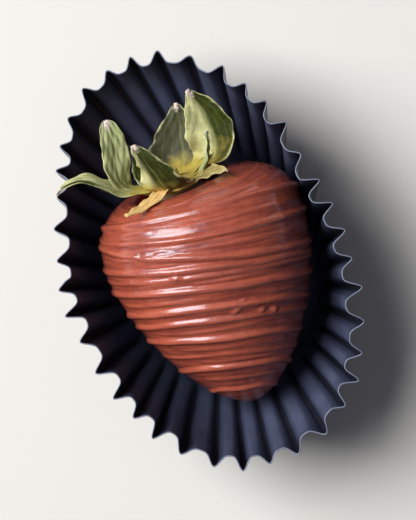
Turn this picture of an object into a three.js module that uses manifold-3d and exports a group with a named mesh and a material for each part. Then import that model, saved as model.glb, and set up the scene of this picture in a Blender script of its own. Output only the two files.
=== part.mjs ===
// A strawberry dipped in milk chocolate and drizzled with threads of the same chocolate.
// It lies on its side in its own fluted paper case, with the leaves left bare.
//
// Millimetres, +Z up. The origin is the centre of the case's flat bottom.
// The berry has its own frame: u runs across it, w runs up through it, and h runs along
// its axis towards the leaves. Round the axis, 0 degrees is +u and 90 degrees is +w.

import * as THREE from 'three';
import { mergeVertices } from 'three/addons/utils/BufferGeometryUtils.js';
import Module from 'manifold-3d';

// ---------------------------------------------------------------- driving dimensions

const GAP = 0.3;                 // clear space between two pieces that touch

const CASE = {
  paper: 0.4,                    // thickness of the waxed paper
  wall: 32,                      // height of the wall, measured along its slope
  flutes: 38,
  depth: 3.3,                    // of a flute at the rim, from valley to peak
  sharpness: 0.05,               // of a flute's peak: 0 gives an even wave
  growth: 0.7,                   // how the depth grows up the wall: 1 is straight
  unevenDepth: 0.2,              // share by which one flute differs from the next
  opened: 0.3,                   // share of the depth lost where the wall leans out furthest
  unevenRim: 0.45,               // how far the cut edge rises and falls
  opensFrom: 5,                  // overhang of the rim at which the flutes start to open
  opensTo: 19,                   // and at which they are as open as they get
  belly: 0.75,                   // how much the wall swells out on its way up: 0 is straight
  base: { long: 46, wide: 41, turn: 20, x: 1.2, y: 1.2, power: 2 },
  rim: { long: 84.5, wide: 54.4, turn: 23.4, x: -2.5, y: 4.2, power: 2.2 },
  dents: [                       // where the rim is pushed in, in degrees round it from +X
    { at: 50, depth: 1.2, width: 13 },
    { at: 150, depth: 3.2, width: 26 },
  ],
  pointsPerFlute: 6,
  bands: 4,
};

const BERRY = {
  radius: 21.2,                  // across the widest place, without the threads
  thickness: 0.93,               // how much less it measures through than across
  shoulder: 14,                  // from the widest place up to the top, before the dimple
  shoulderPower: 3,              // squareness of the shoulder
  dimple: 2.5,                   // depth of the hollow that the leaves sit in
  dimpleRadius: 13,
  taper: 34.8,                   // from the widest place down to the tip
  taperPower: 1.5,
  tipPower: 1.65,                // bluntness of the tip
  lean: 0.045,                   // rise of the shoulder from one side to the other
  turn: 17.3,                    // degrees from +Y towards -X
  pitch: 12,                     // degrees that the leaf end is raised
  axis: { x: -5.0, y: 18.1 },    // where the axis passes the leaves
  leafOffset: -2.4,              // the leaves sit this far off the axis, along u
  offsetFrom: 8,                 // length along the profile at which that offset starts to die out
  offsetTo: 24,                  // and at which it is gone
  leanFrom: 18,                  // the same for the lean
  leanTo: 40,
  footPress: 1.1,                // how much of the round underside the flat foot takes away
};

const COAT = {
  thickness: 1.4,
  opening: 8.9,                  // round the leaves, measured along the surface
  openingWave: 0.7,
  waveEnds: 17,                  // length along the profile at which the wavy edge has died out
  segments: 38,
  insideRings: 14,
};

const FRUIT = {
  bareDepth: 0.35,               // of the bare fruit inside the opening, below the coat's outside
  bareFrom: 3,                   // the fruit dips under the coat between these two
  bareTo: 1.4,                   // distances before the coat's edge
};

// Threads of drizzle, from the leaves to the tip: where each crosses the berry's axis, and how
// thick it is beside a full one.
const THREADS = [
  { at: -2.4, size: 0.9 },
  { at: -7.5, size: 0.85 },
  { at: -11.8, size: 1.1 },
  { at: -14.4, size: 1.0 },
  { at: -16.4, size: 0.5 },
  { at: -18.8, size: 1.15 },
  { at: -23.6, size: 1.05 },
  { at: -26.6, size: 0.9 },
  { at: -30.5, size: 1.0 },
  { at: -34.0, size: 0.45 },
  { at: -37.4, size: 1.1 },
  { at: -42.3, size: 0.85 },
];
const THREAD = {
  height: 0.66,
  halfWidth: 1.12,
  crown: 0.4,                    // half the width of its rounded top
  slant: 0.18,                   // shift towards the tip per mm of +u
  drape: 0.105,                  // shift towards the leaves per mm of +w
  wave: 0.4,
  startsIn: 14,                  // distance from the opening over which the slant grows
  endsIn: 13,                    // and from the tip
  valley: 0.25,                  // height left between two threads that touch
  fadeFrom: -0.25,               // sine of the angle at which a thread starts to thin out
  fadeTo: -0.75,                 // and where it has run out, under the berry
};

const LEAF = {
  thickness: 0.5,
  start: 1.2,                    // distance from the stem at which a leaf starts
  lift: 1.8,                     // how far the leaf's middle runs above the fruit
  baseTilt: 12,                  // degrees, slope of the hollow the leaf climbs out of
  channel: 0.16,                 // how deep the leaf is channelled, per mm of half width
  ripple: 0.45,                  // wave of the leaf's edge
  baseWidth: 0.16,               // where on the arch of its outline the leaf starts
  leastWidth: 0.6,
  risesFrom: 0.18,               // shares of its length between which it turns up
  risesTo: 0.5,
  twistsFrom: 0.2,               // and between which its blade twists
  twistsTo: 0.65,
  rows: 11,
  columns: 4,
};

// Each leaf: its place round the stem, its size, its slope halfway and at the tip
// (0 lies flat on the fruit, 90 stands along the axis), its bend to one side, how many
// degrees its blade is twisted round its own middle line, how pointed it is, how much more
// channelled than usual, and how far its widest place is moved towards the tip (1 is not).
const LEAVES = [
  { at: 156, length: 26, width: 6.0, middle: 45, tip: -27, bend: 0.02, twist: 30, point: 0.9 },
  { at: 172, length: 23.7, width: 6.2, middle: 101, tip: 86, bend: 0.05, twist: 75, point: 0.4, widest: 1.7 },
  { at: 100, length: 14.5, width: 4.2, middle: -14, tip: 8, bend: 0.56, twist: 0, point: 0.7 },
  { at: 96, length: 19.6, width: 10.4, middle: 66, tip: 84, bend: 0.2, twist: 32, point: 0.85, cup: 1.4 },
  { at: 38, length: 13.5, width: 4.8, middle: 12, tip: -10, bend: 0.02, twist: -14, point: 0.9 },
  { at: 20, length: 14, width: 5.0, middle: 62, tip: 96, bend: -0.1, twist: -25, point: 0.9 },
  { at: 338, length: 25, width: 11, middle: 95, tip: 117, bend: 0.03, twist: -50, point: 0.8,
    cup: 1.7, widest: 1.35 },
  { at: 288, length: 20.4, width: 14.6, middle: 78, tip: 94, bend: 0.08, twist: 0, point: 0.85, cup: 2 },
  { at: 226, length: 12.5, width: 7.0, middle: 62, tip: 92, bend: 0.06, twist: 20, point: 0.9 },
].map((leaf) => ({ cup: 1, widest: 1, ...leaf }));

const STEM = {
  radius: 1.5,
  height: 5.4,
  hubRadius: 7,
  hubBottom: -0.05,
  hubEdge: 2.2,
  hubTop: 2.75,
  flare: 0.7,                    // height over which the hub narrows to the stem
  sides: 16,
};

const COLOURS = {
  paper: { color: 0x1a1a26, roughness: 0.55, metalness: 0 },
  chocolate: { color: 0x8a4334, roughness: 0.34, metalness: 0 },
  flesh: { color: 0xc8331b, roughness: 0.4, metalness: 0 },
  leaf: { color: 0x7d8450, roughness: 0.62, metalness: 0 },
};

// ---------------------------------------------------------------- small helpers

const FULL_TURN = 2 * Math.PI;
const radians = THREE.MathUtils.degToRad;
const { lerp, smoothstep } = THREE.MathUtils;

// Raises |value| to a power and keeps its sign, as the formula of a superellipse needs.
function signedPower(value, power) {
  return Math.sign(value) * Math.abs(value) ** power;
}

// Reads y at x from two rising columns of numbers.
function interpolate(xs, ys, x) {
  let i = 1;
  while (i < xs.length - 1 && xs[i] < x) i += 1;
  const share = (x - xs[i - 1]) / (xs[i] - xs[i - 1]);
  return lerp(ys[i - 1], ys[i], THREE.MathUtils.clamp(share, 0, 1));
}

// Closed geometry from points and triangles, with its faces turned outwards.
function closedGeometry(points, triangles) {
  let volume = 0;
  for (const [a, b, c] of triangles) {
    volume += points[a].dot(points[b].clone().cross(points[c]));
  }
  const faces = volume > 0 ? triangles : triangles.map(([a, b, c]) => [a, c, b]);
  const geometry = new THREE.BufferGeometry();
  geometry.setFromPoints(points);
  geometry.setIndex(faces.flat());
  return geometry;
}

// Skin over a row of rings with the same number of points, shut by a point at each end.
function skin(startPoint, rings, endPoint) {
  const count = rings[0].length;
  const points = [startPoint, ...rings.flat(), endPoint];
  const last = points.length - 1;
  const triangles = [];
  for (let i = 0; i < count; i += 1) {
    const next = (i + 1) % count;
    triangles.push([0, 1 + next, 1 + i]);
    for (let k = 0; k < rings.length - 1; k += 1) {
      const low = 1 + k * count;
      const high = low + count;
      triangles.push([low + i, low + next, high + i]);
      triangles.push([low + next, high + next, high + i]);
    }
    const lastRing = last - count;
    triangles.push([lastRing + i, lastRing + next, last]);
  }
  return closedGeometry(points, triangles);
}

function namedMesh(name, geometry, finish) {
  const mesh = new THREE.Mesh(geometry, new THREE.MeshStandardMaterial(finish));
  mesh.name = name;
  return mesh;
}

// ---------------------------------------------------------------- paper case

// Points at equal steps round an oval, each with the direction that points out of it.
function ovalPoints(oval, count) {
  const steps = 720;
  const turn = radians(oval.turn);
  const at = (angle) => {
    const across = oval.wide / 2 * signedPower(Math.cos(angle), 2 / oval.power);
    const along = oval.long / 2 * signedPower(Math.sin(angle), 2 / oval.power);
    return new THREE.Vector2(across, along).rotateAround(new THREE.Vector2(), turn)
      .add(new THREE.Vector2(oval.x, oval.y));
  };
  const angles = [0];
  const lengths = [0];
  for (let i = 1; i <= steps; i += 1) {
    angles.push(FULL_TURN * i / steps);
    lengths.push(lengths[i - 1] + at(angles[i]).distanceTo(at(angles[i - 1])));
  }
  const nudge = FULL_TURN / steps;
  return Array.from({ length: count }, (_, i) => {
    const angle = interpolate(lengths, angles, lengths[steps] * i / count);
    const along = at(angle + nudge).sub(at(angle - nudge)).normalize();
    return { point: at(angle), out: new THREE.Vector2(along.y, -along.x) };
  });
}

// Cross-section of a flute, half as deep on each side of 0, with its peak a little sharper
// than its valley.
function fluteWave(phase) {
  return Math.cos(FULL_TURN * phase) / 2 + CASE.sharpness * Math.cos(2 * FULL_TURN * phase);
}

// How far the rim is pushed in at one of its points.
function dentAt(point) {
  const angle = THREE.MathUtils.radToDeg(Math.atan2(point.y, point.x));
  return CASE.dents.reduce((sum, { at, depth, width }) => (
    sum + depth * Math.exp(-(((angle - at) / width) ** 2))
  ), 0);
}

// One level of the wall, as far up as share says.
function wallLevel(base, rim, share) {
  const swelling = share + CASE.belly * share * (1 - share);
  return base.map((foot, i) => {
    const flute = i / CASE.pointsPerFlute;
    const mean = foot.point.clone().lerp(rim[i].point, swelling);
    const out = foot.out.clone().lerp(rim[i].out, share).normalize();
    mean.addScaledVector(out, -dentAt(rim[i].point) * share ** 2);
    const spread = foot.point.distanceTo(rim[i].point);
    const uneven = 1 + CASE.unevenDepth * Math.sin(2.4 * Math.round(flute));
    const opened = 1 - CASE.opened * smoothstep(spread, CASE.opensFrom, CASE.opensTo);
    const depth = CASE.depth * uneven * opened * share ** CASE.growth;
    mean.addScaledVector(out, depth * fluteWave(flute));
    const edge = CASE.unevenRim * share * Math.sin(1.7 * flute);
    const height = share * Math.sqrt(CASE.wall ** 2 - spread ** 2) + edge;
    return new THREE.Vector3(mean.x, mean.y, height);
  });
}

// The same ring moved inwards by the thickness of the paper.
function insideRing(ring, floor) {
  return ring.map((point, i) => {
    const before = ring[(i + ring.length - 1) % ring.length];
    const after = ring[(i + 1) % ring.length];
    const inwards = new THREE.Vector3(before.y - after.y, after.x - before.x, 0).normalize();
    const moved = point.clone().addScaledVector(inwards, CASE.paper);
    moved.z = Math.max(moved.z, floor);
    return moved;
  });
}

function paperCase() {
  const count = CASE.flutes * CASE.pointsPerFlute;
  const base = ovalPoints(CASE.base, count);
  const rim = ovalPoints(CASE.rim, count);
  const outside = Array.from({ length: CASE.bands + 1 }, (_, k) => wallLevel(base, rim, k / CASE.bands));
  const inside = outside.map((ring) => insideRing(ring, CASE.paper));
  const floorCentre = new THREE.Vector3(0, 0, CASE.paper);
  const bottomCentre = new THREE.Vector3(0, 0, 0);
  return skin(floorCentre, [...inside, ...outside.reverse()], bottomCentre);
}

// ---------------------------------------------------------------- shape of the berry

// The profile from the middle of the dimple to the tip, as length along it, radius and height.
function berryProfile() {
  const steps = 240;
  const widest = -(BERRY.shoulder - BERRY.dimple);
  const lengths = [];
  const radii = [];
  const heights = [];
  const add = (radius, height) => {
    const i = radii.length;
    const step = i ? Math.hypot(radius - radii[i - 1], height - heights[i - 1]) : 0;
    lengths.push((lengths[i - 1] ?? 0) + step);
    radii.push(radius);
    heights.push(height);
  };
  for (let i = 0; i < steps; i += 1) {
    const angle = Math.PI / 2 * i / steps;
    const radius = BERRY.radius * Math.sin(angle) ** (2 / BERRY.shoulderPower);
    const hollow = Math.max(0, 1 - (radius / BERRY.dimpleRadius) ** 2) ** 2;
    const rise = BERRY.shoulder * Math.cos(angle) ** (2 / BERRY.shoulderPower);
    add(radius, widest + rise - BERRY.dimple * hollow);
  }
  for (let i = 0; i <= steps; i += 1) {
    const angle = Math.PI / 2 * i / steps;
    const radius = BERRY.radius * Math.max(0, Math.cos(angle)) ** (2 / BERRY.tipPower);
    add(radius, widest - BERRY.taper * Math.sin(angle) ** (2 / BERRY.taperPower));
  }
  return { lengths, radii, heights, total: lengths[lengths.length - 1] };
}

const PROFILE = berryProfile();

// Length along the profile at which the flank is as low as height.
function lengthAtHeight(height) {
  let i = PROFILE.heights.length - 1;
  while (PROFILE.heights[i] < height) i -= 1;
  return PROFILE.lengths[i];
}

// A point of the berry's skin, in its own frame, moved out by raise along the normal.
function skinPoint(length, angle, raise) {
  const s = THREE.MathUtils.clamp(length, 0, PROFILE.total);
  const nudge = 0.2;
  const radius = interpolate(PROFILE.lengths, PROFILE.radii, s);
  const height = interpolate(PROFILE.lengths, PROFILE.heights, s);
  const before = Math.max(s - nudge, 0);
  const after = Math.min(s + nudge, PROFILE.total);
  const run = interpolate(PROFILE.lengths, PROFILE.radii, after)
    - interpolate(PROFILE.lengths, PROFILE.radii, before);
  const drop = interpolate(PROFILE.lengths, PROFILE.heights, before)
    - interpolate(PROFILE.lengths, PROFILE.heights, after);
  const scale = raise / Math.hypot(run, drop);
  const out = Math.max(radius + drop * scale, 0);
  const offCentre = BERRY.leafOffset * (1 - smoothstep(s, BERRY.offsetFrom, BERRY.offsetTo));
  const u = offCentre + out * Math.cos(angle);
  const w = out * BERRY.thickness * Math.sin(angle);
  const leaning = BERRY.lean * u * (1 - smoothstep(s, BERRY.leanFrom, BERRY.leanTo));
  const h = height + run * scale + leaning;
  return new THREE.Vector3(u, w, h);
}

// Turns the berry's own frame into the part's, with the foot pressed flat on the case's floor.
const TURN = radians(BERRY.turn);
const PITCH = radians(BERRY.pitch);
const ACROSS = new THREE.Vector3(Math.cos(TURN), Math.sin(TURN), 0);
const AXIS = new THREE.Vector3(
  -Math.sin(TURN) * Math.cos(PITCH),
  Math.cos(TURN) * Math.cos(PITCH),
  Math.sin(PITCH),
);
const UP = ACROSS.clone().cross(AXIS);
const FOOT = CASE.paper + GAP;
const AXIS_HEIGHT = FOOT - BERRY.footPress - lowestSkin();

function lowestSkin() {
  let lowest = 0;
  for (let s = 0; s < PROFILE.total; s += 0.5) {
    const below = skinPoint(s, -Math.PI / 2, 0);
    lowest = Math.min(lowest, below.y * UP.z + below.z * AXIS.z);
  }
  return lowest;
}

function place(local, floor = -Infinity) {
  const point = new THREE.Vector3(BERRY.axis.x, BERRY.axis.y, AXIS_HEIGHT)
    .addScaledVector(ACROSS, local.x)
    .addScaledVector(UP, local.y)
    .addScaledVector(AXIS, local.z);
  point.z = Math.max(point.z, floor);
  return point;
}

function placedRing(length, raise, floor, count, shift = () => 0) {
  return Array.from({ length: count }, (_, i) => {
    const angle = FULL_TURN * i / count;
    const s = length + shift(angle, length);
    const lift = typeof raise === 'function' ? raise(angle) : raise;
    return place(skinPoint(s, angle, lift), floor);
  });
}

// ---------------------------------------------------------------- fruit

// The fruit fills the coat, and comes up to the leaves through the coat's opening.
function fruitDepth(length) {
  const covered = COAT.thickness + GAP;
  const dip = smoothstep(length, COAT.opening - FRUIT.bareFrom, COAT.opening - FRUIT.bareTo);
  return lerp(FRUIT.bareDepth, covered, dip);
}

// Where the rings lie on which the fruit and the inside of the coat face each other.
function innerLengths() {
  const first = COAT.opening + 0.6;
  const last = PROFILE.total - 1;
  return Array.from({ length: COAT.insideRings }, (_, k) => (
    lerp(first, last, (k / (COAT.insideRings - 1)) ** 1.2)
  ));
}

function strawberry() {
  const floor = FOOT + COAT.thickness + 2 * GAP;
  const lengths = [2.5, 5.5, COAT.opening - FRUIT.bareTo, ...innerLengths()];
  const rings = lengths.map((s) => placedRing(s, -fruitDepth(s), floor, COAT.segments, slant));
  const top = place(skinPoint(0, 0, -fruitDepth(0)), floor);
  const tip = place(skinPoint(PROFILE.total, 0, -fruitDepth(PROFILE.total)), floor);
  return skin(top, rings, tip);
}

// ---------------------------------------------------------------- chocolate coat

// How far the threads' planes run aslant at one place of the coat. It dies out at both ends.
function slant(angle, length) {
  const fade = smoothstep(length, COAT.opening, COAT.opening + THREAD.startsIn)
    * (1 - smoothstep(length, PROFILE.total - THREAD.endsIn, PROFILE.total));
  const across = BERRY.radius * (THREAD.slant * Math.cos(angle) - THREAD.drape * Math.sin(angle));
  const wave = THREAD.wave * Math.sin(2 * angle + 0.45 * length);
  const edge = COAT.openingWave * Math.sin(3 * angle + 1);
  return fade * (across + wave) + edge * (1 - smoothstep(length, COAT.opening, COAT.waveEnds));
}

// A thread lies over the top and the sides, and has run out under the berry.
function threadShare(angle) {
  return smoothstep(Math.sin(angle), THREAD.fadeTo, THREAD.fadeFrom);
}

// The rings of one thread: its two feet, and between them the edges of its rounded top.
function threadRings({ at, size }) {
  const middle = lengthAtHeight(at);
  const high = THREAD.height * size;
  return [
    { s: middle - THREAD.halfWidth, high: 0 },
    { s: middle - THREAD.crown, high },
    { s: middle + THREAD.crown, high },
    { s: middle + THREAD.halfWidth, high: 0 },
  ];
}

// All rings of the outside. Where two threads touch, their feet merge into one valley.
function coatStations() {
  const plain = [0, 1.6, 4.6, 7.6].map((step) => ({ s: COAT.opening + step, high: 0 }));
  const tip = [3.2, 1.2].map((back) => ({ s: PROFILE.total - back, high: 0 }));
  const stations = [...plain];
  for (const ring of THREADS.flatMap(threadRings)) {
    const previous = stations[stations.length - 1];
    if (ring.s - previous.s > 0.3) {
      stations.push(ring);
    } else {
      previous.s = (previous.s + ring.s) / 2;
      previous.high = THREAD.valley;
    }
  }
  return [...stations, ...tip];
}

function chocolateCoat() {
  const { segments, thickness } = COAT;
  const outside = coatStations().map(({ s, high }) => (
    placedRing(s, (angle) => high * threadShare(angle), FOOT, segments, slant)
  ));
  const floor = FOOT + thickness;
  const inside = innerLengths().map((s) => placedRing(s, -thickness, floor, segments, slant));
  const innerTip = place(skinPoint(PROFILE.total, 0, -thickness), floor);
  const outerTip = place(skinPoint(PROFILE.total, 0, 0), FOOT);
  return skin(innerTip, [...inside.reverse(), ...outside], outerTip);
}

// ---------------------------------------------------------------- leaves

// Slope of a leaf at a share of its length: the hollow, then its middle, then its tip.
function leafSlope(leaf, share) {
  const toMiddle = (leaf.middle - LEAF.baseTilt) * smoothstep(share, LEAF.risesFrom, LEAF.risesTo);
  const toTip = (leaf.tip - leaf.middle) * smoothstep(share, LEAF.risesTo, 1);
  return radians(LEAF.baseTilt + toMiddle + toTip);
}

// The middle line of a leaf in the plane through the stem: distance out, and height.
function leafLine(leaf) {
  const line = [];
  const steps = LEAF.rows - 1;
  let out = LEAF.start;
  let height = LEAF.lift;
  for (let i = 0; i <= steps; i += 1) {
    const slope = leafSlope(leaf, i / steps);
    line.push({ out, height, slope });
    out += leaf.length / steps * Math.cos(slope);
    height += leaf.length / steps * Math.sin(slope);
  }
  return line;
}

// Half the width of a leaf: narrow at the stem, widest before the middle, pointed at the tip.
function leafHalfWidth(leaf, share) {
  const arch = Math.sin(Math.PI * lerp(LEAF.baseWidth, 1, share ** leaf.widest)) ** leaf.point;
  return Math.max(leaf.width * arch, LEAF.leastWidth) / 2;
}

// One direction turned towards another that is square to it.
function turned(from, towards, angle) {
  return from.clone().multiplyScalar(Math.cos(angle)).addScaledVector(towards, Math.sin(angle));
}

// The leaf's middle surface as rows of points.
function leafSurface(leaf, index) {
  const at = radians(leaf.at);
  const outwards = new THREE.Vector3(Math.cos(at), Math.sin(at), 0);
  const sideways = new THREE.Vector3(-Math.sin(at), Math.cos(at), 0);
  const along = new THREE.Vector3(0, 0, 1);
  const stem = new THREE.Vector3(BERRY.leafOffset, 0, 0);
  return leafLine(leaf).map(({ out, height, slope }, i) => {
    const share = i / (LEAF.rows - 1);
    const half = leafHalfWidth(leaf, share);
    const bend = leaf.bend * leaf.length * share ** 2;
    const normal = turned(along, outwards, -slope);
    const twist = radians(leaf.twist) * smoothstep(share, LEAF.twistsFrom, LEAF.twistsTo);
    const blade = turned(sideways, normal, twist);
    const face = turned(normal, sideways, -twist);
    return Array.from({ length: LEAF.columns + 1 }, (_, j) => {
      const side = 2 * j / LEAF.columns - 1;
      const channel = LEAF.channel * leaf.cup * half * side ** 2;
      const ripple = LEAF.ripple * share * side * Math.sin(5 * share + 2 * index);
      return place(stem.clone()
        .addScaledVector(outwards, out)
        .addScaledVector(along, height)
        .addScaledVector(sideways, bend)
        .addScaledVector(blade, side * half)
        .addScaledVector(face, channel + ripple));
    });
  });
}

// A thin solid on both sides of a surface, with both faces split into triangles alike.
function leafSolid(rows, thickness) {
  const height = rows.length;
  const width = rows[0].length;
  const normalAt = (i, j) => {
    const down = rows[Math.min(i + 1, height - 1)][j].clone().sub(rows[Math.max(i - 1, 0)][j]);
    const across = rows[i][Math.min(j + 1, width - 1)].clone().sub(rows[i][Math.max(j - 1, 0)]);
    return down.cross(across).normalize();
  };
  const face = (side) => rows.flatMap((row, i) => (
    row.map((point, j) => point.clone().addScaledVector(normalAt(i, j), side * thickness / 2))
  ));
  const points = [...face(1), ...face(-1)];
  const back = height * width;
  const triangles = [];
  for (let i = 0; i < height - 1; i += 1) {
    for (let j = 0; j < width - 1; j += 1) {
      const a = i * width + j;
      const [b, c, d] = [a + 1, a + width, a + width + 1];
      triangles.push([a, c, b], [b, c, d]);
      triangles.push([back + a, back + b, back + c], [back + b, back + d, back + c]);
    }
  }
  const edge = [];
  for (let j = 0; j < width - 1; j += 1) edge.push(j);
  for (let i = 0; i < height - 1; i += 1) edge.push(i * width + width - 1);
  for (let j = width - 1; j > 0; j -= 1) edge.push((height - 1) * width + j);
  for (let i = height - 1; i > 0; i -= 1) edge.push(i * width);
  edge.forEach((a, i) => {
    const b = edge[(i + 1) % edge.length];
    triangles.push([a, b, back + a], [b, back + b, back + a]);
  });
  return closedGeometry(points, triangles);
}

// The hub that the leaves grow from, with the cut stem on it, turned about the axis.
function stemAndHub() {
  const profile = [
    [0, STEM.hubBottom],
    [STEM.hubRadius, STEM.hubEdge],
    [STEM.hubRadius * 0.86, STEM.hubTop],
    [STEM.radius * 1.15, STEM.hubTop + STEM.flare],
    [STEM.radius, STEM.height],
    [0, STEM.height + 0.2],
  ];
  const lathe = new THREE.LatheGeometry(profile.map(([x, y]) => new THREE.Vector2(x, y)), STEM.sides);
  lathe.translate(BERRY.leafOffset, 0, 0);
  const stand = new THREE.Matrix4().makeBasis(ACROSS, AXIS, UP).setPosition(place(new THREE.Vector3()));
  return lathe.applyMatrix4(stand);
}

// ---------------------------------------------------------------- joining solids

const wasm = await Module();
wasm.setup();

function toSolid(geometry) {
  const bare = geometry.clone();
  bare.deleteAttribute('normal');
  bare.deleteAttribute('uv');
  const merged = mergeVertices(bare, 1e-4);
  const triVerts = withoutSlivers(merged.index.array);
  const mesh = new wasm.Mesh({ numProp: 3, vertProperties: merged.attributes.position.array, triVerts });
  return new wasm.Manifold(mesh);
}

// Merging the points of a pole leaves triangles with two corners alike, which are dropped.
function withoutSlivers(index) {
  const kept = [];
  for (let i = 0; i < index.length; i += 3) {
    const [a, b, c] = index.slice(i, i + 3);
    if (a !== b && b !== c && c !== a) kept.push(a, b, c);
  }
  return new Uint32Array(kept);
}

function toGeometry(solid) {
  const { vertProperties, triVerts } = solid.getMesh();
  const geometry = new THREE.BufferGeometry();
  geometry.setAttribute('position', new THREE.BufferAttribute(vertProperties, 3));
  geometry.setIndex(new THREE.BufferAttribute(triVerts, 1));
  return geometry;
}

// All leaves, the hub and the stem grow together, so they are one solid.
function calyx() {
  const leaves = LEAVES.map((leaf, i) => toSolid(leafSolid(leafSurface(leaf, i), LEAF.thickness)));
  return toGeometry(leaves.reduce((whole, leaf) => whole.add(leaf), toSolid(stemAndHub())));
}

// ---------------------------------------------------------------- the whole

const model = new THREE.Group();
model.add(namedMesh('paper_case', paperCase(), COLOURS.paper));
model.add(namedMesh('chocolate_coat', chocolateCoat(), COLOURS.chocolate));
model.add(namedMesh('strawberry', strawberry(), COLOURS.flesh));
model.add(namedMesh('calyx', calyx(), COLOURS.leaf));

export default model;
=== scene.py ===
# %% [markdown]
# # A chocolate coated strawberry in its paper case
#
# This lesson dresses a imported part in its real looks. The part is a strawberry that was dipped in
# milk chocolate, drizzled with threads of the same chocolate and laid on its side in a black fluted
# paper case. Five pieces are made here: the coat, the fruit, its seeds, its leaves and the case.
#
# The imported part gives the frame. Its four solids say where everything is and how large it is, so
# each piece below starts from the same sizes and adds what the solids leave out: thin crinkled
# paper, rounded threads, frilled leaves, seeds, and finishes that take the light as the real
# surfaces do.

import math
from types import SimpleNamespace

import bpy
import numpy as np
from mathutils import Matrix, Vector


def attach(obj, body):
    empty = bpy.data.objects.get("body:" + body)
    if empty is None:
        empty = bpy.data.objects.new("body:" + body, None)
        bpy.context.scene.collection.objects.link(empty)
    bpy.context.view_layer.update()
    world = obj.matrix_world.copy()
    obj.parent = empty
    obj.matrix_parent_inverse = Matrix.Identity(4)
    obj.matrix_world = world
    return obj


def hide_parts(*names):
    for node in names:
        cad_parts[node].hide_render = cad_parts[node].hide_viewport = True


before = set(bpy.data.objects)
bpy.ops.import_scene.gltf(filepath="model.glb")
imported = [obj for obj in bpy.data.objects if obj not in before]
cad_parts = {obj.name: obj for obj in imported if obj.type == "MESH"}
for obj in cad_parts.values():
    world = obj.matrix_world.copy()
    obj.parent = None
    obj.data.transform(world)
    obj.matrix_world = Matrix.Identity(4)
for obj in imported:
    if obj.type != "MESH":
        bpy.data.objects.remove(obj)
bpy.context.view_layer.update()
MM = 0.001


def in_mm(box):
    return [[round(x / MM, 1) for x in corner] for corner in box]


# %% [markdown]
# ## Small helpers for shapes
#
# Everything round in this object is a row of rings: the coat, the fruit, a seed and the stem are
# rings from one end to the other, shut by a point at each end. They could be spun from a drawn
# curve, but rings of points let a formula lean them, flatten them and run threads round them. So
# one function turns rings into a closed mesh. It also turns the faces outwards, by the sign of the
# volume that they enclose.

# %% Numbers
FULL_TURN = 2 * math.pi


def lerp(start, end, share):
    return start + (end - start) * share


def smoothstep(value, low, high):
    """Goes from 0 at low to 1 at high, with a soft start and a soft end."""
    share = np.clip((np.asarray(value, float) - low) / (high - low), 0, 1)
    return share * share * (3 - 2 * share)


def around(count):
    """Angles in equal steps, once round."""
    return np.arange(count) * FULL_TURN / count


print("a soft step a quarter of the way along:", float(smoothstep(0.25, 0, 1)))

# %% Meshes


def new_object(name, data):
    """An object at the origin that shows some data."""
    made = bpy.data.objects.new(name, data)
    bpy.context.scene.collection.objects.link(made)
    return made


def new_piece(name, points, faces, materials=(), edges=()):
    """A mesh object with its place in its mesh and soft shading."""
    mesh = bpy.data.meshes.new(name)
    mesh.from_pydata([tuple(p) for p in points], list(edges), faces)
    for material in materials:
        mesh.materials.append(material)
    mesh.shade_smooth()
    return new_object(name, mesh)


def point_values(piece, name, values):
    """Stores one number for each point of a mesh, for its material to read."""
    attribute = piece.data.attributes.new(name, "FLOAT", "POINT")
    attribute.data.foreach_set("value", np.asarray(values, np.float32).ravel())


def report(piece):
    """Prints how large a piece is and how many triangles it has, modifiers included."""
    ready = piece.evaluated_get(bpy.context.evaluated_depsgraph_get())
    mesh = ready.to_mesh()
    mesh.calc_loop_triangles()
    corners = np.array([v.co for v in mesh.vertices])
    box = in_mm([corners.min(0).tolist(), corners.max(0).tolist()])
    print(f"{piece.name}: {len(mesh.loop_triangles)} triangles, mm {box[0]} to {box[1]}")
    ready.to_mesh_clear()


# %% Rings


def outward(points, faces):
    """The same faces, all turned so that the closed shape's volume is above zero."""
    corners = [points[[face[i] for face in faces]] for i in range(3)]
    volume = np.einsum("ij,ij->", corners[0], np.cross(corners[1], corners[2]))
    return faces if volume > 0 else [tuple(reversed(face)) for face in faces]


def closed_rings(start, rings, end):
    """Points and faces of a skin over rings, an array of (ring, point, xyz), shut at both ends."""
    count, size = rings.shape[:2]
    points = np.vstack([[start], rings.reshape(-1, 3), [end]])
    last = len(points) - 1
    faces = []
    for k in range(count - 1):
        low = 1 + k * size
        for i in range(size):
            after = (i + 1) % size
            faces.append((low + i, low + after, low + size + after, low + size + i))
    foot = last - size
    for i in range(size):
        after = (i + 1) % size
        faces.append((0, 1 + after, 1 + i))
        faces.append((foot + i, foot + after, last))
    return points, outward(points, faces)


spindle = closed_rings((0, 0, -1), np.array([[(1, 0, 0), (0, 1, 0), (-1, -1, 0)]]), (0, 0, 1))
print(f"one ring of three points makes a spindle of {len(spindle[1])} faces")

# %% [markdown]
# ## Formulas as node trees
#
# Geometry Nodes and materials are both written here as formulas. Nodes could be placed and linked
# one by one, but the case alone needs more than a hundred. A `Field` wraps a socket, and each sign
# between two fields adds a Math node, so `depth * wave` in the script is a Multiply node in the
# tree. The script then reads like the sum that the tree works out.

# %% Fields


def feed(tree, socket, value):
    """Gives a socket a value: a link where the value comes from another node, or else a number."""
    if isinstance(value, Field):
        value = value.socket
    if isinstance(value, bpy.types.NodeSocket):
        tree.links.new(value, socket)
    elif value is not None:
        socket.default_value = value


def add(tree, kind, given=None, **settings):
    """Adds a node, sets its options and feeds its inputs, which are named or numbered."""
    node = tree.nodes.new(kind)
    for name, value in settings.items():
        setattr(node, name, value)
    for name, value in (given or {}).items():
        feed(tree, node.inputs[name], value)
    return node


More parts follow.
